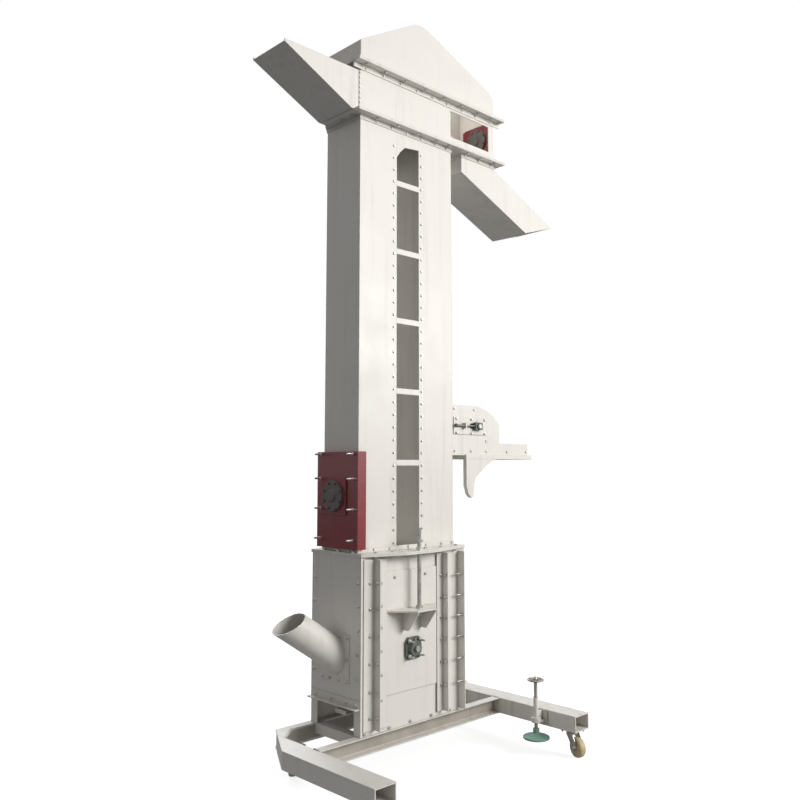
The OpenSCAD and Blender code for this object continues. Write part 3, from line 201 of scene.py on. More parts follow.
def make_worn_paint_with_shade():
    """Paint on sheet: broad tone drift, vertical runs of dust, painted shade in closed-in corners and
    recesses, rubbed edges and a faint orange peel.
    """
    tree, taken, given = shader_group("worn_paint_with_shade", [
        ("Paint", "NodeSocketColor", (0.8, 0.8, 0.8, 1)), ("Dust And Shade", "NodeSocketColor", (0.4, 0.37, 0.32, 1)),
        ("Bare", "NodeSocketColor", (0.3, 0.3, 0.3, 1)), ("Dust And Shade Amount", "NodeSocketFloat", 0.3),
        ("Edge Wear", "NodeSocketFloat", 0.5), ("Gloss", "NodeSocketFloat", 0.35)],
        [("Colour", "NodeSocketColor"), ("Roughness", "NodeSocketFloat"), ("Normal", "NodeSocketVector")])
    drift = ranged(tree, cloud(tree, 1.7, 3), 0.3, 0.7)
    runs = ranged(tree, cloud(tree, 1.0, 5, (26, 26, 1.5)), 0.52, 0.78)
    specks = ranged(tree, cloud(tree, 90, 3), 0.6, 0.75)
    soil_mask = times(tree, times(tree, runs, drift), taken.outputs["Dust And Shade Amount"])
    factor, first, second, soiled = mixer(tree)
    tree.links.new(soil_mask, factor)
    tree.links.new(taken.outputs["Paint"], first)
    tree.links.new(taken.outputs["Dust And Shade"], second)
    factor, first, second, specked = mixer(tree)
    tree.links.new(times(tree, times(tree, specks, taken.outputs["Dust And Shade Amount"]), 0.35), factor)
    tree.links.new(soiled, first)
    tree.links.new(taken.outputs["Dust And Shade"], second)
    # The edge mask is where the rounded normal leaves the flat one
    rounded = tree.nodes.new("ShaderNodeBevel")
    rounded.samples = 4
    rounded.inputs["Radius"].default_value = 0.0035
    flat = tree.nodes.new("ShaderNodeNewGeometry")
    apart = tree.nodes.new("ShaderNodeVectorMath")
    apart.operation = "DOT_PRODUCT"
    tree.links.new(rounded.outputs["Normal"], apart.inputs[0])
    tree.links.new(flat.outputs["Normal"], apart.inputs[1])
    edge = ranged(tree, apart.outputs["Value"], 0.985, 0.86)
    # Painted shade: the paint is darkened with the second colour where the surface is closed in, in recesses
    # and corners
    closed = tree.nodes.new("ShaderNodeAmbientOcclusion")
    closed.samples = 4
    closed.inputs["Distance"].default_value = 0.07
    uneven = ranged(tree, cloud(tree, 9, 4), 0.1, 0.6, 0.5, 1.0)
    corner = times(tree, ranged(tree, closed.outputs["AO"], 0.82, 0.35), uneven)
    factor, first, second, corner_shaded = mixer(tree)
    tree.links.new(times(tree, times(tree, corner, taken.outputs["Dust And Shade Amount"]), 1.3), factor)
    tree.links.new(specked, first)
    tree.links.new(taken.outputs["Dust And Shade"], second)
    spots = ranged(tree, cloud(tree, 34, 4), 0.48, 0.62)
    rub = times(tree, times(tree, edge, spots), taken.outputs["Edge Wear"])
    factor, first, second, rubbed = mixer(tree)
    tree.links.new(rub, factor)
    tree.links.new(corner_shaded, first)
    tree.links.new(taken.outputs["Bare"], second)
    tree.links.new(rubbed, given.inputs["Colour"])
    rough = tree.nodes.new("ShaderNodeMath")
    rough.operation = "ADD"
    tree.links.new(taken.outputs["Gloss"], rough.inputs[0])
    tree.links.new(ranged(tree, cloud(tree, 6, 4), 0.3, 0.7, -0.05, 0.09), rough.inputs[1])
    tree.links.new(rough.outputs[0], given.inputs["Roughness"])
    peel = tree.nodes.new("ShaderNodeBump")
    peel.inputs["Strength"].default_value = 0.12
    peel.inputs["Distance"].default_value = 0.001
    tree.links.new(cloud(tree, 240, 2), peel.inputs["Height"])
    tree.links.new(rounded.outputs["Normal"], peel.inputs["Normal"])
    dent = tree.nodes.new("ShaderNodeBump")
    dent.inputs["Strength"].default_value = 0.22
    dent.inputs["Distance"].default_value = 0.02
    tree.links.new(cloud(tree, 1.6, 1), dent.inputs["Height"])
    tree.links.new(peel.outputs["Normal"], dent.inputs["Normal"])
    tree.links.new(dent.outputs["Normal"], given.inputs["Normal"])
    return tree


worn_paint_with_shade = make_worn_paint_with_shade()


def painted(name, paint, dust_and_shade, bare, dust_and_shade_amount=0.3, edge_wear=0.5, gloss=0.35, coat=0.0):
    """A painted metal that uses the worn paint."""
    material = bpy.data.materials.new(name)
    material.use_nodes = True
    tree = material.node_tree
    shader = tree.nodes["Principled BSDF"]
    shader.inputs["Coat Weight"].default_value = coat
    shader.inputs["Coat Roughness"].default_value = 0.15
    group = tree.nodes.new("ShaderNodeGroup")
    group.node_tree = worn_paint_with_shade
    group.inputs["Paint"].default_value = (*paint, 1)
    # This colour darkens the dust runs and specks, and is also the painted shade in closed-in corners
    group.inputs["Dust And Shade"].default_value = (*dust_and_shade, 1)
    group.inputs["Bare"].default_value = (*bare, 1)
    group.inputs["Dust And Shade Amount"].default_value = dust_and_shade_amount
    group.inputs["Edge Wear"].default_value = edge_wear
    group.inputs["Gloss"].default_value = gloss
    tree.links.new(group.outputs["Colour"], shader.inputs["Base Color"])
    tree.links.new(group.outputs["Roughness"], shader.inputs["Roughness"])
    tree.links.new(group.outputs["Normal"], shader.inputs["Normal"])
    return material


def dress(names, material):
    """Gives CAD nodes a material."""
    for name in names:
        slots = node[name].material_slots
        if not slots:
            node[name].data.materials.append(material)
        for slot in slots:
            slot.material = material


BASE_TONE = (0.80, 0.775, 0.735)
# The second colour is the dust colour and also the painted shade of closed-in corners
BASE_DUST_AND_SHADE = (0.36, 0.32, 0.27)
BASE_BARE = (0.26, 0.24, 0.22)
# Painted shade for the rails' webs, which lie in under their top flanges
WEB_PAINTED_SHADE = (0.34, 0.31, 0.27, 1)
base_paint = painted("base_paint", BASE_TONE, BASE_DUST_AND_SHADE, BASE_BARE, 0.6, 0.8, 0.42)
dress(["left_outrigger", "right_outrigger", "cross_beams"], base_paint)
rail_low, rail_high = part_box("front_rail")
RAIL_FLANGE = 0.0065


def make_rail_paint_with_painted_shade():
    """The base paint with painted shade on the webs, between the rails' two flanges."""
    material = painted("rail_paint_with_painted_shade", BASE_TONE, BASE_DUST_AND_SHADE, BASE_BARE, 0.6, 0.8, 0.42)
    tree = material.node_tree
    place = tree.nodes.new("ShaderNodeTexCoord")
    parts = tree.nodes.new("ShaderNodeSeparateXYZ")
    tree.links.new(place.outputs["Object"], parts.inputs[0])
    over = ranged(tree, parts.outputs["Z"], rail_low.z + RAIL_FLANGE, rail_low.z + 2 * RAIL_FLANGE)
    under = ranged(tree, parts.outputs["Z"], rail_high.z - RAIL_FLANGE, rail_high.z - 1.5 * RAIL_FLANGE)
    uneven = ranged(tree, cloud(tree, 7, 4), 0.2, 0.6, 0.6, 0.95)
    # Painted shade: the webs between the two flanges are mixed towards a darker colour, a little unevenly
    factor, first, second, colour = mixer(tree)
    tree.links.new(times(tree, times(tree, over, under), uneven), factor)
    first.default_value = (*BASE_TONE, 1)
    second.default_value = WEB_PAINTED_SHADE
    group = next(n for n in tree.nodes if n.type == "GROUP")
    tree.links.new(colour, group.inputs["Paint"])
    return material


dress(["front_rail", "back_rail"], make_rail_paint_with_painted_shade())


def finish_piece(build, name, material, body, smooth=None):
    """Makes the object of a bmesh, dresses it and sets it on its body."""
    bmesh.ops.recalc_face_normals(build, faces=build.faces)
    mesh = bpy.data.meshes.new(name)
    build.to_mesh(mesh)
    build.free()
    mesh.materials.append(material)
    piece = bpy.data.objects.new(name, mesh)
    bpy.context.scene.collection.objects.link(piece)
    if smooth:
        for face in mesh.polygons:
            face.use_smooth = True
        mesh.set_sharp_from_angle(angle=math.radians(smooth))
    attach(piece, body)
    return piece


def as_mesh(build):
    """A small mesh made once, to be stamped many times."""
    mesh = bpy.data.meshes.new("shape")
    build.to_mesh(mesh)
    build.free()
    return mesh


def stamp(build, shape, place):
    """Adds a copy of a small mesh, moved to its place."""
    copy = shape.copy()
    copy.transform(place)
    build.from_mesh(copy)
    bpy.data.meshes.remove(copy)


def weld(name, runs, radius, material, body="root"):
    """A rippled weld bead along each run of points: flat drops that overlap."""
    drop = bmesh.new()
    bmesh.ops.create_icosphere(drop, subdivisions=2, radius=1)
    drop = as_mesh(drop)
    build = bmesh.new()
    for points in runs:
        for a, b in zip(points, points[1:]):
            a, b = Vector(a), Vector(b)
            count = max(2, round((b - a).length / (radius * 0.9)))
            along = (b - a).to_track_quat("Z", "Y").to_matrix().to_4x4()
            for i in range(count):
                swell = radius * (1 + 0.12 * math.sin(i * 2.4))
                size = Matrix.Diagonal((swell, swell, radius * 0.8, 1))
                place = Matrix.Translation(a.lerp(b, (i + 0.5) / count))
                stamp(build, drop, place @ along @ size)
    return finish_piece(build, name, material, body, 60)


RAIL_OUTER_Y = 0.2
RAIL_INNER_Y = 0.155
WELD_LIFT = 0.001
base_runs = []
for face_x, side in ((rail_low.x, 1), (rail_high.x, -1)):
    for side_y in (-1, 1):
        outer, inner = side_y * RAIL_OUTER_Y, side_y * RAIL_INNER_Y
        # The back left corner is cut on a slant and has the run below instead
        if side_y == 1 and face_x < 0:
            continue
        x = face_x + side * WELD_LIFT
        for z in (rail_low.z + WELD_LIFT, rail_high.z + WELD_LIFT):
            base_runs.append([(x, outer, z), (x, inner, z)])
        base_runs.append([(x, inner, rail_low.z), (x, inner, rail_high.z)])
base_runs.append([(-0.52, 0.1545, 0.2185), (-0.62, 0.064, 0.2185)])
weld("base_welds", base_runs, 0.0042, base_paint)

# Casters
# Four swivel casters: a zinc-plated pressed fork under a ball race, and a moulded nylon wheel.
# Each plate is held to the base by four bolts.


def make_plated():
    """Zinc or turned steel: fine cloud, dull patches and a faint grain."""
    tree, taken, given = shader_group("plated_metal", [
        ("Metal", "NodeSocketColor", (0.6, 0.6, 0.6, 1)), ("Dull", "NodeSocketColor", (0.3, 0.3, 0.3, 1)),
        ("Dullness", "NodeSocketFloat", 0.5), ("Gloss", "NodeSocketFloat", 0.35)],
        [("Colour", "NodeSocketColor"), ("Roughness", "NodeSocketFloat"), ("Normal", "NodeSocketVector")])
    patches = times(tree, ranged(tree, cloud(tree, 28, 5), 0.38, 0.66), taken.outputs["Dullness"])
    factor, first, second, colour = mixer(tree)
    tree.links.new(patches, factor)
    tree.links.new(taken.outputs["Metal"], first)
    tree.links.new(taken.outputs["Dull"], second)
    tree.links.new(colour, given.inputs["Colour"])
    rough = tree.nodes.new("ShaderNodeMath")
    rough.operation = "ADD"
    tree.links.new(taken.outputs["Gloss"], rough.inputs[0])
    tree.links.new(ranged(tree, cloud(tree, 60, 3), 0.3, 0.7, -0.08, 0.16), rough.inputs[1])
    tree.links.new(rough.outputs[0], given.inputs["Roughness"])
    rounded = tree.nodes.new("ShaderNodeBevel")
    rounded.samples = 4
    rounded.inputs["Radius"].default_value = 0.0012
    grain = tree.nodes.new("ShaderNodeBump")
    grain.inputs["Strength"].default_value = 0.15
    grain.inputs["Distance"].default_value = 0.0006
    tree.links.new(cloud(tree, 420, 3), grain.inputs["Height"])
    tree.links.new(rounded.outputs["Normal"], grain.inputs["Normal"])
    tree.links.new(grain.outputs["Normal"], given.inputs["Normal"])
    return tree


plated_metal = make_plated()


def plated(name, metal, dull, dullness=0.5, gloss=0.35, metallic=0.9):
    """A bare or plated metal."""
    material = bpy.data.materials.new(name)
    material.use_nodes = True
    tree = material.node_tree
    shader = tree.nodes["Principled BSDF"]
    shader.inputs["Metallic"].default_value = metallic
    group = tree.nodes.new("ShaderNodeGroup")
    group.node_tree = plated_metal
    group.inputs["Metal"].default_value = (*metal, 1)
    group.inputs["Dull"].default_value = (*dull, 1)
    group.inputs["Dullness"].default_value = dullness
    group.inputs["Gloss"].default_value = gloss
    tree.links.new(group.outputs["Colour"], shader.inputs["Base Color"])
    tree.links.new(group.outputs["Roughness"], shader.inputs["Roughness"])
    tree.links.new(group.outputs["Normal"], shader.inputs["Normal"])
    return material


zinc = plated("zinc_plate", (0.60, 0.59, 0.57), (0.36, 0.35, 0.33), 0.5, 0.36, 0.8)
nylon = plated("tan_nylon", (0.62, 0.52, 0.33), (0.45, 0.36, 0.21), 0.55, 0.45, 0.0)
dress(["caster_plates"] + ["caster_fork_%d" % i for i in range(1, 5)], zinc)
dress(["caster_wheel_%d" % i for i in range(1, 5)], nylon)


def hex_bolt(across, shank):
    """A hex head on a washer on z = 0, with the bolt's end standing out of it if shank is over zero."""
    build = bmesh.new()
    washer_t = across * 0.12
    head_t = across * 0.5

    def ring(sides, radius, depth, height):
        made = bmesh.ops.create_cone(build, cap_ends=True, segments=sides, radius1=radius, radius2=radius,
                                     depth=depth, matrix=Matrix.Translation((0, 0, height + depth / 2)))
        return made["verts"]

    ring(16, across * 0.72, washer_t, 0)
    head = ring(6, across * 0.577, head_t, washer_t)
    top = sorted(head, key=lambda v: v.co.z)[6:]
    rim = [e for e in {e for v in top for e in v.link_edges} if all(v in top for v in e.verts)]
    bmesh.ops.bevel(build, geom=rim, offset=across * 0.07, segments=1, profile=0.5,
                    affect="EDGES", material=-1)
    if shank:
        ring(10, across * 0.31, shank, washer_t + head_t)
    return as_mesh(build)


def bolts(name, places, body="root", across=0.013, shank=0.0):
    """Makes one piece of bolts from places and outward directions, each turned a little differently."""
    shape = hex_bolt(across, shank)
    build = bmesh.new()
    for i, (place, out) in enumerate(places):
        turn = Vector(out).to_track_quat("Z", "Y").to_matrix().to_4x4()
        stamp(build, shape, Matrix.Translation(place) @ turn @ Matrix.Rotation(0.3 + 1.7 * i, 4, "Z"))
    return finish_piece(build, name, zinc, body)


CASTER_AT = [(0.716, -0.64), (-0.68, -0.65), (0.708, 0.15), (-0.5, 0.175)]
CASTER_PLATE_T = 0.006
CASTER_HOLE = 0.038
plate_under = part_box("caster_plates")[1].z - CASTER_PLATE_T
bolts("caster_bolts", [((x + i * CASTER_HOLE, y + j * CASTER_HOLE, plate_under), (0, 0, -1))
                       for x, y in CASTER_AT for i in (-1, 1) for j in (-1, 1)], across=0.013, shank=0.004)

# Screw jack
# A steel screw turns in a welded guide on the right outrigger and lowers a round green foot.
# Its handwheel is a small casting; the screw has a coarse cut thread.
steel = plated("turned_steel", (0.46, 0.45, 0.43), (0.20, 0.18, 0.16), 0.65, 0.38)
grease_steel = plated("greased_steel", (0.36, 0.34, 0.31), (0.17, 0.15, 0.13), 0.6, 0.42)
foot_green = painted("foot_green", (0.20, 0.40, 0.32), (0.34, 0.35, 0.29), (0.24, 0.24, 0.22), 0.7, 0.9, 0.42)
dress(["jack_tube"], base_paint)
dress(["jack_foot"], foot_green)
dress(["jack_screw"], grease_steel)


def thread(name, runs, pitch, body, material):
    """The ridges of screw threads: a low profile turned round each rod while it moves along it."""
    build = bmesh.new()
    steps = 12
    for foot, top, radius in runs:
        foot, top = Vector(foot), Vector(top)
        axis = (top - foot).normalized()
        aside = axis.orthogonal().normalized()
        turns = int((top - foot).length / pitch) - 1
        sunk = foot + aside * (radius - pitch * 0.15)
        proud = foot + axis * (pitch * 0.5) + aside * (radius + pitch * 0.2)
        far = sunk + axis * pitch
        corners = [build.verts.new(p) for p in (sunk, proud, far)]
        edges = [build.edges.new(pair) for pair in zip(corners, corners[1:])]
        bmesh.ops.spin(build, geom=corners + edges, cent=foot, axis=axis, dvec=axis * (pitch / steps),
                       angle=2 * math.pi * turns, steps=steps * turns, use_duplicate=False)
    bmesh.ops.remove_doubles(build, verts=build.verts, dist=0.00002)
    return finish_piece(build, name, material, body, 40)


jack_low, jack_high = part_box("jack_screw")
jack_x = (jack_low.x + jack_high.x) / 2
jack_y = (jack_low.y + jack_high.y) / 2
thread("jack_thread", [((jack_x, jack_y, 0.131), (jack_x, jack_y, jack_high.z - 0.032), 0.009)],
       0.005, "jack_screw_body", grease_steel)
jack_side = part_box("jack_tube")[1].x
jack_runs = []
for s in (-1, 1):
    x, y = jack_side - 0.005, jack_y + s * 0.034
    jack_runs.append([(x, y, 0.155), (x, y, 0.214)])
weld("jack_welds", jack_runs, 0.0035, base_paint)

# Boot
# A box of bent sheet, painted ivory, with a curved bare pan and a clean-out gate below it.
# Rows of plated bolts hold its walls to the angles, and the inlet pipe is welded into its plate.
ivory = painted("ivory_paint", (0.80, 0.775, 0.735), (0.42, 0.385, 0.33), (0.36, 0.35, 0.33), 0.4, 0.45, 0.36)
bare_sheet = plated("bare_sheet", (0.50, 0.49, 0.47), (0.30, 0.27, 0.24), 0.7, 0.45, 0.8)
dress(["boot_front_panel", "boot_back_panel", "boot_left_panel", "boot_right_panel", "boot_angles",
       "boot_flange", "inlet_pipe", "inlet_plate"], ivory)
dress(["boot_pan", "clean_out_gate"], bare_sheet)


def mirrored(places):
    """The places, and their copies at the back."""
    return places + [((x, -y, z), (i, -j, k)) for (x, y, z), (i, j, k) in places]


FRONT = (0, -1, 0)
LEFT = (-1, 0, 0)
BOOT_SIDE_X = 0.370
BOOT_FACE_Y = -0.190
ANGLE_FACE_Y = -0.195
GUIDE_FACE_Y = -0.2006
SIDE_BOLT_Z = (0.483, 0.599, 0.711, 0.824, 0.938)
ANGLE_BOLT_Z = (0.299, 0.421, 0.553, 0.682, 0.811, 0.936)
GUIDE_BOLT_Z = (0.372, 0.491, 0.605, 0.715, 0.820, 0.931)
FOOT_BOLT_X = (-0.346, -0.184, -0.04, 0.111, 0.25, 0.345)
boot_places = [((s * BOOT_SIDE_X, -0.167, z), (s, 0, 0)) for z in SIDE_BOLT_Z for s in (-1, 1)]
boot_places += [((-0.315, ANGLE_FACE_Y, z), FRONT) for z in ANGLE_BOLT_Z]
boot_places += [((-0.288, -0.219, z), LEFT) for z in ANGLE_BOLT_Z]
boot_places += [((0.178, GUIDE_FACE_Y, z), FRONT) for z in GUIDE_BOLT_Z]
boot_places += [((0.191, -0.222, z), LEFT) for z in GUIDE_BOLT_Z]
boot_places += [((-0.248, GUIDE_FACE_Y, z), FRONT) for z in GUIDE_BOLT_Z]
boot_places += [((x, BOOT_FACE_Y, 0.231), FRONT) for x in FOOT_BOLT_X]
boot_places += [((0.345, ANGLE_FACE_Y, z), FRONT) for z in GUIDE_BOLT_Z]
bolts("boot_bolts", mirrored(boot_places), across=0.013)
bolts("boot_foot_bolts", [((s * 0.375, y, 0.366), (s, 0, 0))
                          for y in (-0.165, -0.09, 0.025, 0.145) for s in (-1, 1)])
bolts("boot_long_bolts", mirrored([((0.320, -0.220, z), LEFT) for z in GUIDE_BOLT_Z]),
      across=0.014, shank=0.030)
plate_low, plate_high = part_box("inlet_plate")
PLATE_EDGE = 0.013
plate_rows = [(plate_low.x, y, z) for y in (-0.095, -0.033, 0.033, 0.095)
              for z in (plate_low.z + PLATE_EDGE, plate_high.z - PLATE_EDGE)]
plate_rows += [(plate_low.x, y, (plate_low.z + plate_high.z) / 2) for y in (-0.097, 0.097)]
bolts("inlet_bolts", [(place, LEFT) for place in plate_rows])
INLET_SLOPE = math.radians(33)
INLET_OUTER = 0.0775
INLET_PLATE_T = 0.006
INLET_Z = 0.573
# The pipe leaves the upright plate in an ellipse, which the plate's thickness lifts a little
ellipse_z = INLET_Z + INLET_PLATE_T * math.tan(INLET_SLOPE)
ellipse_r = INLET_OUTER / math.cos(INLET_SLOPE)
ellipse = []
for i in range(37):
    turn = math.radians(10 * i)
    y, z = INLET_OUTER * math.cos(turn), ellipse_z + ellipse_r * math.sin(turn)
    ellipse.append((plate_low.x - WELD_LIFT, y, z))
weld("inlet_weld", [ellipse], 0.0036, ivory)


def corner_beads(name, runs, radius):
    """Smooth beads along long upright corners, each closed by a small dome at both ends."""
    build = bmesh.new()
    for x, y, low, high in runs:
        middle = Matrix.Translation((x, y, (low + high) / 2))
        bmesh.ops.create_cone(build, cap_ends=True, segments=10, radius1=radius, radius2=radius,
                              depth=high - low, matrix=middle)
        for z in (low, high):
            end = Matrix.Translation((x, y, z))
            bmesh.ops.create_icosphere(build, subdivisions=2, radius=radius, matrix=end)
    return finish_piece(build, name, ivory, "root", 40)


BEAD_R = 0.0022
corner_beads("boot_corner_welds", [(s * 0.3695, t * 0.1895, 0.35, 1.058)
                                   for s in (-1, 1) for t in (-1, 1)], BEAD_R)

# Take-up
# Sliding plates with flange bearings, pushed by threaded rods whose nuts stand on the boot's flange.
# Long studs hold each bearing, which has a grease nipple on its housing.
cast_green = plated("bearing_casting", (0.15, 0.18, 0.16), (0.06, 0.07, 0.065), 0.7, 0.45, 0.35)
dress(["takeup_plate_front", "takeup_plate_back"], ivory)
dress(["takeup_bearings"], cast_green)
dress(["takeup_rods", "boot_shaft"], steel)
dress(["adjust_nut_front", "adjust_nut_back"], zinc)
drum_paint = painted("drum_paint", (0.16, 0.17, 0.18), (0.30, 0.27, 0.22), (0.35, 0.34, 0.33), 0.6, 0.8, 0.4)
dress(["boot_pulley"], drum_paint)
BELT_X = -0.030
ROD_Y = 0.248
SHAFT_Z = 0.590
rod_low, rod_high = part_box("takeup_rods")
rod_runs = []
for s in (-1, 1):
    foot, top = (BELT_X, s * ROD_Y, rod_low.z + 0.001), (BELT_X, s * ROD_Y, rod_high.z - 0.001)
    rod_runs.append((foot, top, 0.010))
thread("takeup_threads", rod_runs, 0.0025, "takeup", steel)
STUD_OUT = 0.0368
stud_places = [((BELT_X + i * STUD_OUT, -0.2165, SHAFT_Z + j * STUD_OUT), FRONT)
               for i in (-1, 1) for j in (-1, 1)]
bolts("takeup_studs", mirrored(stud_places), "takeup", 0.015, 0.024)
PLATE_Y = 0.1968
SHELF_Z = 0.790
SHELF_HALF = 0.172
GUSSET_HALF = 0.0655
shelf_runs = []
for s in (-1, 1):
    y, z = s * PLATE_Y, SHELF_Z + 0.0008
    shelf_runs.append([(BELT_X - SHELF_HALF, y, z), (BELT_X + SHELF_HALF, y, z)])
    for side in (-1, 1):
        x = BELT_X + side * GUSSET_HALF
        shelf_runs.append([(x, y, 0.686), (x, y, 0.780), (x, s * 0.298, 0.7815)])
weld("takeup_welds", shelf_runs, 0.0028, ivory, "takeup")
plate_places = [((x, -0.1963, 0.950), FRONT) for x in (-0.152, 0.065)]
bolts("takeup_plate_bolts", mirrored(plate_places), "takeup", 0.012)

# Hex, neck and the two halves of the ball: sides, lower radius, upper radius, lower end, upper end
NIPPLE_STEPS = ((6, 0.0048, 0.0048, -0.002, 0.004), (12, 0.003, 0.002, 0.004, 0.009),
                (12, 0.002, 0.0031, 0.009, 0.011), (12, 0.0031, 0.0016, 0.011, 0.0135))


def nipples(name, places, body):
    """Grease nipples: a small hex, a neck and a ball, standing on a bearing's housing."""
    build = bmesh.new()
    for place, out in places:
        turn = Matrix.Translation(place) @ Vector(out).to_track_quat("Z", "Y").to_matrix().to_4x4()
        for sides, wide, narrow, low, high in NIPPLE_STEPS:
            middle = turn @ Matrix.Translation((0, 0, (low + high) / 2))
            bmesh.ops.create_cone(build, cap_ends=True, segments=sides, radius1=wide, radius2=narrow,
                                  depth=high - low, matrix=middle)
    return finish_piece(build, name, zinc, body, 40)


nipple_places = [((BELT_X, s * 0.221, SHAFT_Z + 0.038), (0, s * 0.35, 1)) for s in (-1, 1)]
nipples("takeup_nipples", nipple_places, "takeup")

# Legs
# Two casings of bent sheet with bolted inner walls, tied by flat strips and standing on angle rings.
# A bolt every 66 mm holds each inner wall's return behind the casing's face.
# Painted shade: the inner walls in the gap between the legs get a darker copy of the ivory paint
inner_wall_shaded_paint = painted("inner_wall_painted_shade", (0.62, 0.60, 0.56), (0.36, 0.33, 0.28), (0.33, 0.32, 0.30),
                      0.5, 0.4, 0.42)
dress(["left_leg_casing", "right_leg_casing", "tie_strips", "trunk_flanges"], ivory)
dress(["leg_inner_walls"], inner_wall_shaded_paint)
dress(["flange_bolts"], zinc)
LEG_FACE = -0.135
LEG_BOLT_LOW = 1.112
LEG_BOLT_STEP = 0.066
leg_rows = [((x, LEG_FACE, LEG_BOLT_LOW + LEG_BOLT_STEP * i), FRONT)
            for i in range(33) for x in (-0.103, 0.103)]
bolts("leg_bolts", mirrored(leg_rows), across=0.011)
foot_places = [((x, LEG_FACE - 0.004, 1.089), FRONT) for x in (-0.241, -0.133, 0.0, 0.131, 0.248, 0.33)]
foot_places = mirrored(foot_places)
foot_places += [((s * 0.349, y, 1.086), (s, 0, 0)) for y in (-0.075, 0.02, 0.112) for s in (-1, 1)]
bolts("leg_foot_bolts", foot_places, across=0.011)
corner_beads("leg_folds", [(s * 0.3434, t * 0.1334, 1.10, 3.30) for s in (-1, 1) for t in (-1, 1)], BEAD_R)

# Red cover
# Three folded red covers on long studs at the left leg's foot, and the two round port covers.
# A thin plated bar lies over each seam; the studs show their threads where they stand free.
RED_TONE = (0.22, 0.018, 0.026)
PORT_TONE = (0.115, 0.095, 0.09)
red_paint = painted("red_paint", RED_TONE, (0.14, 0.07, 0.06), (0.18, 0.11, 0.10), 0.5, 0.5, 0.36, 0.15)
dress(["red_cover", "red_port_plate"], red_paint)
dress(["cover_studs"], zinc)
PORT_CENTRES = ((0.0, 0.020, 1.3545), (0.0, -0.020, 3.502))
PORT_EDGE = 0.0785


def make_port_paint():
    """Red on the square plates of both ports, and dull brown grey on the round covers in their middle."""
    material = painted("port_paint", RED_TONE, (0.16, 0.11, 0.09), (0.18, 0.13, 0.12), 0.5, 0.5, 0.4)
    tree = material.node_tree
    place = tree.nodes.new("ShaderNodeTexCoord")
    flat = tree.nodes.new("ShaderNodeVectorMath")
    flat.operation = "MULTIPLY"
    flat.inputs[1].default_value = (0, 1, 1)
    tree.links.new(place.outputs["Object"], flat.inputs[0])
    reach = []
    for centre in PORT_CENTRES:
        away = tree.nodes.new("ShaderNodeVectorMath")
        away.operation = "DISTANCE"
        away.inputs[1].default_value = centre
        tree.links.new(flat.outputs[0], away.inputs[0])
        reach.append(away.outputs["Value"])
    nearest = tree.nodes.new("ShaderNodeMath")
    nearest.operation = "MINIMUM"
    tree.links.new(reach[0], nearest.inputs[0])
    tree.links.new(reach[1], nearest.inputs[1])
    factor, first, second, colour = mixer(tree)
    tree.links.new(ranged(tree, nearest.outputs[0], PORT_EDGE, PORT_EDGE + 0.0005), factor)
    first.default_value = (*PORT_TONE, 1)
    second.default_value = (*RED_TONE, 1)
    group = next(n for n in tree.nodes if n.type == "GROUP")
    tree.links.new(colour, group.inputs["Paint"])
    return material


dress(["port_discs"], make_port_paint())


def bars(name, middles, size, edge, steps, material):
    """Flat bars of one size with rounded edges."""
    build = bmesh.new()
    for middle in middles:
        place = Matrix.Translation(middle) @ Matrix.Diagonal((*size, 1))
        bmesh.ops.create_cube(build, size=1, matrix=place)
    bmesh.ops.bevel(build, geom=build.edges[:], offset=edge, segments=steps, profile=0.5,
                    affect="EDGES", material=-1)
    return finish_piece(build, name, material, "root")


# A flat bar lies over each seam between two covers
STUD_Z = (1.140, 1.291, 1.442, 1.565)
STUD_Y = 0.127
STUD_R = 0.005
STUD_FREE = 0.033
cover_low, cover_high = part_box("red_cover")
bars("cover_seams", [(cover_low.x - 0.001, 0, z) for z in STUD_Z[1:3]],
     (0.002, cover_high.y - cover_low.y - 0.012, 0.005), 0.0006, 1, zinc)
stud_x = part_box("cover_studs")[0].x
thread("stud_threads", [((stud_x + 0.001, s * STUD_Y, z), (stud_x + STUD_FREE, s * STUD_Y, z), STUD_R)
                        for z in STUD_Z for s in (-1, 1)], 0.00175, "root", zinc)

# Head
# The box, its hood and the two chutes are painted sheet; shaft, drum and bearings are inside.
# Bolts clamp the flanges above and below the box, and hold their upright legs to the walls.
dress(["head_box", "head_hood", "left_chute", "right_chute"], ivory)
dress(["head_shaft"], steel)
dress(["head_pulley"], drum_paint)
dress(["head_bearings"], cast_green)
LOW_FLANGE = (3.328, 3.344)
TOP_FLANGE = (3.600, 3.616)
FLANGE_BOLT_Y = 0.162
FLANGE_LEFT_X = -0.372
FLANGE_RIGHT_X = 0.752


def flange_rows(name, levels, xs, ys_left, ys_right):
    """Bolt heads on top of a flange joint and nuts under it, round its edge."""
    spots = [(x, s * FLANGE_BOLT_Y) for x in xs for s in (-1, 1)]
    spots += [(FLANGE_LEFT_X, y) for y in ys_left] + [(FLANGE_RIGHT_X, y) for y in ys_right]
    nuts = [((x, y, levels[0]), (0, 0, -1)) for x, y in spots]
    heads = [((x, y, levels[1]), (0, 0, 1)) for x, y in spots]
    return bolts(name, nuts + heads)


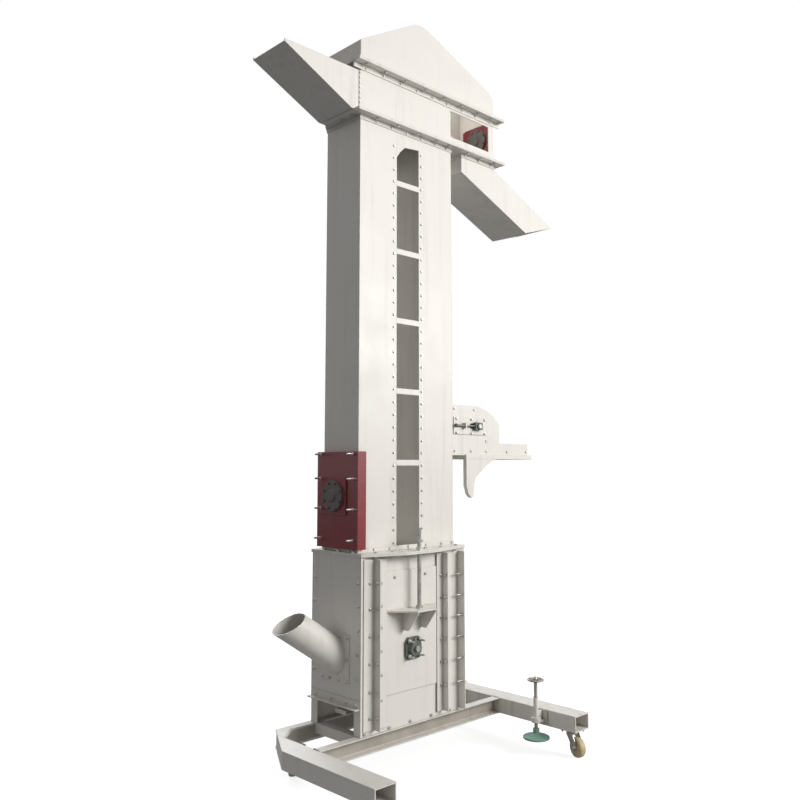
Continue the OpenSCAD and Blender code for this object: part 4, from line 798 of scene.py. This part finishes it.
END_ROW = (-0.11, 0.0, 0.11)
flange_rows("low_flange_bolts", LOW_FLANGE, (-0.25, -0.10, 0.05, 0.20, 0.30, 0.46, 0.58, 0.70),
            (-0.103, -0.016), (-0.10, 0.0, 0.10))
flange_rows("top_flange_bolts", TOP_FLANGE, (-0.332, -0.19, -0.04, 0.11, 0.26, 0.41, 0.556, 0.67, 0.745),
            END_ROW, END_ROW)
LOW_LEG_X = (-0.236, -0.125, -0.014, 0.097, 0.208, 0.30, 0.46, 0.581, 0.691)
TOP_LEG_X = (-0.31, -0.185, -0.06, 0.065, 0.19, 0.31, 0.435, 0.556, 0.688)
ANGLE_LEG_Y = -0.139
low_leg = [((x, ANGLE_LEG_Y, 3.316), FRONT) for x in LOW_LEG_X]
top_leg = [((x, ANGLE_LEG_Y, 3.586), FRONT) for x in TOP_LEG_X]
# A narrow folded edge with small bolts joins each side of the left chute to the box
JOINT_X = -0.351
JOINT_T = 0.003
HEAD_FACE_Y = -0.135
JOINT_Z = [3.362 + 0.027 * i for i in range(8)]
bars("chute_joints", [(JOINT_X, s * (HEAD_FACE_Y - JOINT_T / 2), 3.457) for s in (1, -1)],
     (0.012, JOINT_T, 0.214), 0.0008, 2, ivory)
joint_places = [((JOINT_X, HEAD_FACE_Y - JOINT_T, z), FRONT) for z in JOINT_Z]
bolts("chute_joint_bolts", mirrored(joint_places), across=0.0075)
bolts("head_leg_bolts", mirrored(low_leg + top_leg), across=0.010)
HOOD_BOLT_Z = 3.640
hood_places = [((-0.345, y, HOOD_BOLT_Z), LEFT) for y in END_ROW]
hood_places += [((0.725, y, HOOD_BOLT_Z), (1, 0, 0)) for y in END_ROW]
hood_places += mirrored([((x, HEAD_FACE_Y, HOOD_BOLT_Z), FRONT)
                         for x in (-0.30, -0.15, 0.0, 0.15, 0.30, 0.45, 0.60, 0.69)])
bolts("hood_edge_bolts", hood_places, across=0.008)

# Belt and buckets
# A rubber belt with pressed steel buckets, closed in by the legs.
# It is drawn at rest; the drums turn inside it.
belt_rubber = plated("belt_rubber", (0.035, 0.033, 0.031), (0.07, 0.065, 0.06), 0.6, 0.7, 0.0)
dress(["belt"], belt_rubber)
dress(["buckets"], bare_sheet)

# Side box
# A painted box with a roller on sliding bearings, an open tray and a curved spout.
# Long screws pull the bearings along their slots.
dress(["side_housing", "side_spout"], ivory)
dress(["side_bearings"], cast_green)
dress(["side_roller"], steel)
SIDE_FACE_Y = -0.100
SIDE_PLATE_Y = -0.105
SIDE_HOLES = ((0.570, 1.830), (0.400, 1.830), (0.675, 1.650), (0.675, 1.591),
              (0.400, 1.591), (0.540, 1.591), (0.864, 1.591), (1.049, 1.591))
bolts("side_box_bolts", mirrored([((x, SIDE_FACE_Y, z), FRONT) for x, z in SIDE_HOLES]), across=0.011)
side_places = [((x, SIDE_PLATE_Y, z), FRONT) for x in (0.412, 0.540, 0.655) for z in (1.694, 1.774)]
bolts("side_plate_bolts", mirrored(side_places), across=0.013)
SIDE_SHAFT_X = 0.583
SIDE_SHAFT_Z = 1.734
SIDE_SCREW_Y = 0.1163
SIDE_SCREW_R = 0.006
screw_runs = []
for s in (-1, 1):
    y = s * SIDE_SCREW_Y
    foot, top = (SIDE_SHAFT_X - 0.180, y, SIDE_SHAFT_Z), (SIDE_SHAFT_X - 0.031, y, SIDE_SHAFT_Z)
    screw_runs.append((foot, top, SIDE_SCREW_R))
thread("side_screw_threads", screw_runs, 0.00175, "side_slide", steel)
side_nipple_places = [((SIDE_SHAFT_X, s * 0.118, SIDE_SHAFT_Z + 0.021), (0, 0, 1)) for s in (-1, 1)]
nipples("side_nipples", side_nipple_places, "side_slide")
